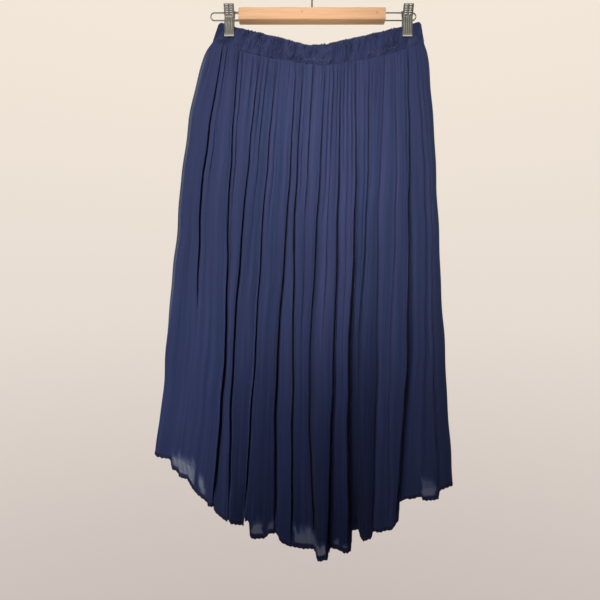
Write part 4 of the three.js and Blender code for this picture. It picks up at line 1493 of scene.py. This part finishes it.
def jaw_points():
    half = CLIP_WIDTH / 2
    across_jaw = np.concatenate([[-half] * 2, np.linspace(-half, half, JAW_COLUMNS), [half] * 2])
    down = np.linspace(0, 1, JAW_ROWS)
    lengths = np.concatenate([[0], np.cumsum(np.hypot(np.diff(JAW_OUT), np.diff(JAW_UP)))])
    out = smooth(lengths / lengths[-1], JAW_OUT, down)[:, None]
    up = smooth(lengths / lengths[-1], JAW_UP, down)[:, None]
    w = across_jaw[None, :] / half
    from_middle = np.abs(w)
    d = down[:, None]
    on_tab = d < TAB_SHARE

    row = np.clip((d - TAB_RIM) / (TAB_SHARE - TAB_RIM), 0, 0.9999) * BUMP_ROWS
    in_row = (row - np.floor(row) - 0.5) / 0.46
    in_column = (from_middle - 0.43) / 0.34
    bump = np.sqrt(np.maximum(0, 1 - in_row**2 - in_column**2)) * (d > TAB_RIM) * on_tab
    groove = (0.5 - 0.5 * np.cos(math.pi * GROOVES * (w + 1))) ** 3
    groove = groove * ease(TAB_SHARE + 0.02, TAB_SHARE + 0.06, d)
    groove = groove * (1 - ease(GRIP_FOOT - 0.04, GRIP_FOOT, d)) * (1 - ease(0.86, 0.94, from_middle))
    depth = 0.5 * ease(1 - FLANGE_WIDTH / half, 1, from_middle) ** 2
    depth[:, [0, -1]] = FLANGE
    depth[:, [1, -2]] = FLANGE * 0.55
    ends = ease(0, 0.05, d) * (1 - ease(0.86, 0.93, d))
    out = out + BUMP_HEIGHT * bump - GROOVE_DEPTH * groove - depth * ends
    out = np.maximum(out, JAW_CLEAR)
    tooth = np.abs(((w + 1) / 2 * TEETH) % 1 - 0.5) * 2
    up = up - TOOTH_DEPTH * tooth * ease(0.93, 1, d)
    corner = 1 - 0.03 * (1 - ease(0, 0.03, d))
    x = across_jaw[None, :] * corner
    x = x * (1 - GRIP_NARROWS * ease(TAB_SHARE - 0.04, TAB_SHARE + 0.04, d))

    # Painted highlight: the upper halves of the bumps, which face the light, and the lip.
    lip = ease(0.955, 0.97, d) * (1 - ease(0.3, 0.6, tooth * (d < 0.985)))
    painted_highlight = np.clip(1.7 * bump * (0.45 - 0.75 * in_row), 0, 1) + 0.9 * lip
    # Painted shade: the tab's sides, the line between the bump columns, the tab's waist, the lower
    # halves of the bumps, which face down, and the grooves.
    frame_side = ease(0.84, 0.9, from_middle) * on_tab
    divider = (1 - ease(0.04, 0.1, from_middle)) * on_tab * (d > TAB_RIM)
    waist = np.exp(-(((d - TAB_SHARE - 0.008) / 0.012) ** 2))
    bump_shade = on_tab * np.clip(bump * 1.3 * in_row, 0, 1)
    shade_parts = [0.7 * frame_side, 0.8 * divider, 0.4 * waist, bump_shade, 0.6 * groove]
    painted_shade = np.maximum.reduce(np.broadcast_arrays(*shade_parts))
    marks = {"painted_highlight": np.clip(painted_highlight, 0, 1) + 0 * x, "painted_shade": np.clip(painted_shade, 0, 1) + 0 * x}
    return np.stack(np.broadcast_arrays(x, out + CLIP_SHEET, WIRE_Z + up), axis=-1), marks


def clip_jaw(name, x, side, lean):
    outside, marks = jaw_points()
    swing = math.radians(lean)
    z = outside[..., 2] - WIRE_Z
    outside[..., 0] = outside[..., 0] + z * math.sin(swing) + x
    uv = np.stack([outside[..., 0] - x, outside[..., 2]], axis=-1) * MM
    return shell(name, outside, CLIP_SHEET, side, CLIP, uv, marks, least=JAW_BACK_CLEAR)


# %% Clip springs
SPRING_HALF_DEPTH = 3.6
SPRING_HALF_HEIGHT = 9.4
SPRING_SHEET = 0.8
SPRING_WIDTH = 11
SPRING_RINGS = 72
SPRING_SIDES = 12


def clip_spring(name, x):
    # A flat strip bent round the wires: its section is swept round an oval.
    turn = circle(SPRING_RINGS)
    round_way = np.stack([0 * turn, np.cos(turn), np.sin(turn)], axis=1)
    path = round_way * [0, SPRING_HALF_DEPTH - SPRING_SHEET / 2, SPRING_HALF_HEIGHT - SPRING_SHEET / 2]
    path = path + [x, 0, WIRE_Z]
    corner = 2 * math.pi * (np.arange(SPRING_SIDES) + 0.5) / SPRING_SIDES
    wide = np.sign(np.cos(corner)) * np.abs(np.cos(corner)) ** 0.25 * SPRING_WIDTH / 2
    thick = np.sign(np.sin(corner)) * np.abs(np.sin(corner)) ** 0.25 * SPRING_SHEET / 2
    points = path[:, None, :] + thick[None, :, None] * round_way[:, None, :]
    points[..., 0] += wide[None, :]
    faces = grid_quads(SPRING_RINGS, SPRING_SIDES, 0, False, around=True).tolist()
    last = (SPRING_RINGS - 1) * SPRING_SIDES
    for k in range(SPRING_SIDES):
        right = (k + 1) % SPRING_SIDES
        faces.append([last + k, k, right, last + right])
    piece = mesh_piece(name, points.reshape(-1, 3) * MM, faces, CLIP)
    fix_facing(piece)
    return piece


# %% Make both clips
CLIP_LEAN = {"left": 0.0, "right": 1.4}
for label, x in CLIP_X.items():
    for face, side in (("front", -1), ("back", 1)):
        jaw = clip_jaw("jaw_" + label + "_" + face, x, side, CLIP_LEAN[label])
        finished(jaw, "clip_" + label + "_" + face)
    spring = clip_spring("spring_" + label, x)
    finished(spring, "clip_" + label + "_spring")
    print(label, "jaw quads:", len(jaw.data.polygons), "spring quads:", len(spring.data.polygons))

# %% [markdown]
# ## Stitches
# Rows of fine stitches hold the elastic in the waistband and close the hems. A stitch is a small
# grain of thread, the same each time, so Geometry Nodes sets them along a path: points at even
# steps, a grain on each, turned along the path and varied a little by a fixed seed. The same tree
# lays the slack thread that shows in curls just above the waist seam; its paler tone is a painted
# highlight.

# %% Stitch tree
def stitch_tree():
    tree, given, end = group_of(
        "stitch_row",
        [
            ("Geometry", "NodeSocketGeometry", None),
            ("Pitch", "NodeSocketFloat", 0.003),
            ("Stitch", "NodeSocketFloat", 0.002),
            ("Thread", "NodeSocketFloat", 0.0003),
            ("Uneven", "NodeSocketFloat", 0.15),
            ("Seed", "NodeSocketInt", 1),
            ("Finish", "NodeSocketMaterial", None),
        ],
        [("Geometry", "NodeSocketGeometry")],
        "GeometryNodeTree",
    )
    line = node(tree, "GeometryNodeMeshToCurve", {"Mesh": given["Geometry"]}).outputs["Curve"]
    ends = {"Curve": line, "Length": given["Pitch"]}
    spots = node(tree, "GeometryNodeCurveToPoints", ends, mode="LENGTH").outputs

    grain = node(tree, "GeometryNodeMeshUVSphere", {"Segments": 6, "Rings": 4, "Radius": 1})
    half = maths(tree, "MULTIPLY", given["Stitch"], 0.5)
    sizes = {"X": given["Thread"], "Y": given["Thread"], "Z": half}
    size = node(tree, "ShaderNodeCombineXYZ", sizes).outputs[0]
    shape = {"Geometry": grain.outputs["Mesh"], "Scale": size}
    shaped = node(tree, "GeometryNodeTransform", shape).outputs["Geometry"]

    low = maths(tree, "SUBTRACT", 1, given["Uneven"])
    high = maths(tree, "ADD", 1, given["Uneven"])
    span = {2: low, 3: high, "Seed": given["Seed"]}
    vary = node(tree, "FunctionNodeRandomValue", span, data_type="FLOAT").outputs[1]
    laid = {"Points": spots["Points"], "Instance": shaped, "Rotation": spots["Rotation"], "Scale": vary}
    place = node(tree, "GeometryNodeInstanceOnPoints", laid).outputs["Instances"]

    real = node(tree, "GeometryNodeRealizeInstances", {"Geometry": place}).outputs["Geometry"]
    soft = node(tree, "GeometryNodeSetShadeSmooth", {"Geometry": real}).outputs["Geometry"]
    dressed = {"Geometry": soft, "Material": given["Finish"]}
    finish = node(tree, "GeometryNodeSetMaterial", dressed).outputs["Geometry"]
    fill(tree, end, {"Geometry": finish})
    return tree


STITCHES = stitch_tree()


# %% Lay rows of stitches
def stitched(name, lines, kind):
    points = []
    edges = []
    for line in lines:
        first = len(points)
        points.extend((np.asarray(line) * MM).tolist())
        edges.extend((k, k + 1) for k in range(first, len(points) - 1))
    mesh = bpy.data.meshes.new(name + "_line")
    mesh.from_pydata(points, edges, [])
    guide = bpy.data.objects.new(name + "_line", mesh)
    scene.collection.objects.link(guide)
    live = guide.modifiers.new("stitches", "NODES")
    live.node_group = STITCHES
    values = {
        "Pitch": kind.pitch * MM,
        "Stitch": kind.length * MM,
        "Thread": kind.thread * MM,
        "Seed": kind.seed,
        "Finish": kind.finish,
    }
    for item in STITCHES.interface.items_tree:
        if item.in_out == "INPUT" and item.name in values:
            live[item.identifier] = values[item.name]
    view = bpy.context.evaluated_depsgraph_get()
    made = bpy.data.meshes.new_from_object(guide.evaluated_get(view))
    made.name = name
    bpy.data.objects.remove(guide)
    piece = bpy.data.objects.new(name, made)
    scene.collection.objects.link(piece)
    finished(piece)
    return piece


def lifted_row(surface, row, off):
    return surface[row] + outward_normals(surface)[row] * off


def band_line(side, down, off):
    return lifted_row(band_surfaces[side], int(round(down * (BAND_ROWS - 1))), off)


def curled_line(side, start, end, seed):
    # An uneven zigzag of thread over the waist seam, between two places across.
    rng = np.random.default_rng(seed)
    seam = band_line(side, CURL_DOWN, CURL_OFF)
    turns = np.arange(start, end, CURL_PITCH / 2)
    turns = turns + rng.uniform(-0.3, 0.3, len(turns)) * CURL_PITCH / 2
    high = CURL_HEIGHT * rng.uniform(0.2, 1, len(turns)) * (-1) ** np.arange(len(turns))
    x = np.linspace(turns[0], turns[-1], 12 * len(turns))
    line = by_place(x, seam[:, 0], seam)
    line[:, 2] += smooth(turns, high, x)
    return line * [1, side, 1]


# %% Rows of stitches, in millimetres
# A kind of stitch has a pitch from one to the next, a length, its thread's radius, a seed for the
# small differences in size, and a finish.
Stitch = namedtuple("Stitch", "pitch length thread seed finish")
BAND_STITCH = Stitch(2.6, 1.9, 0.24, 7, THREAD)
LOOSE_STITCH = Stitch(0.9, 1.3, 0.27, 8, HIGHLIT_LOOSE_THREAD)
HEM_STITCH = Stitch(3.1, 2.1, 0.26, 9, THREAD)
THREAD_OFF = 0.12
BAND_ENDS = 12
HEM_ENDS = 4
HEM_STITCH_ROW = -4
CURL_OFF = 0.6
CURL_DOWN = 0.8
CURL_PITCH = 9
CURL_HEIGHT = 3.2
CURL_SEED = 50
CURLS = {"front": [(-14, 34), (92, 108), (116, 152)], "back": [(-120, -84), (-10, 40)]}
for face, side, surface in (("front", -1, front_surface), ("back", 1, back_surface)):
    across_band = [band_line(side, at, THREAD_OFF)[BAND_ENDS:-BAND_ENDS] for at in STITCH_ROWS]
    in_band = [line * [1, side, 1] for line in across_band]
    band_rows = stitched("band_stitches_" + face, in_band, BAND_STITCH)
    curls = [curled_line(side, *span, CURL_SEED + k) for k, span in enumerate(CURLS[face])]
    stitched("seam_thread_" + face, curls, LOOSE_STITCH)
    in_hem = lifted_row(surface, HEM_STITCH_ROW, THREAD_OFF)[HEM_ENDS:-HEM_ENDS] * [1, side, 1]
    hem_rows = stitched("hem_stitches_" + face, [in_hem], HEM_STITCH)
    print(face, "stitch faces:", len(band_rows.data.polygons) + len(hem_rows.data.polygons))
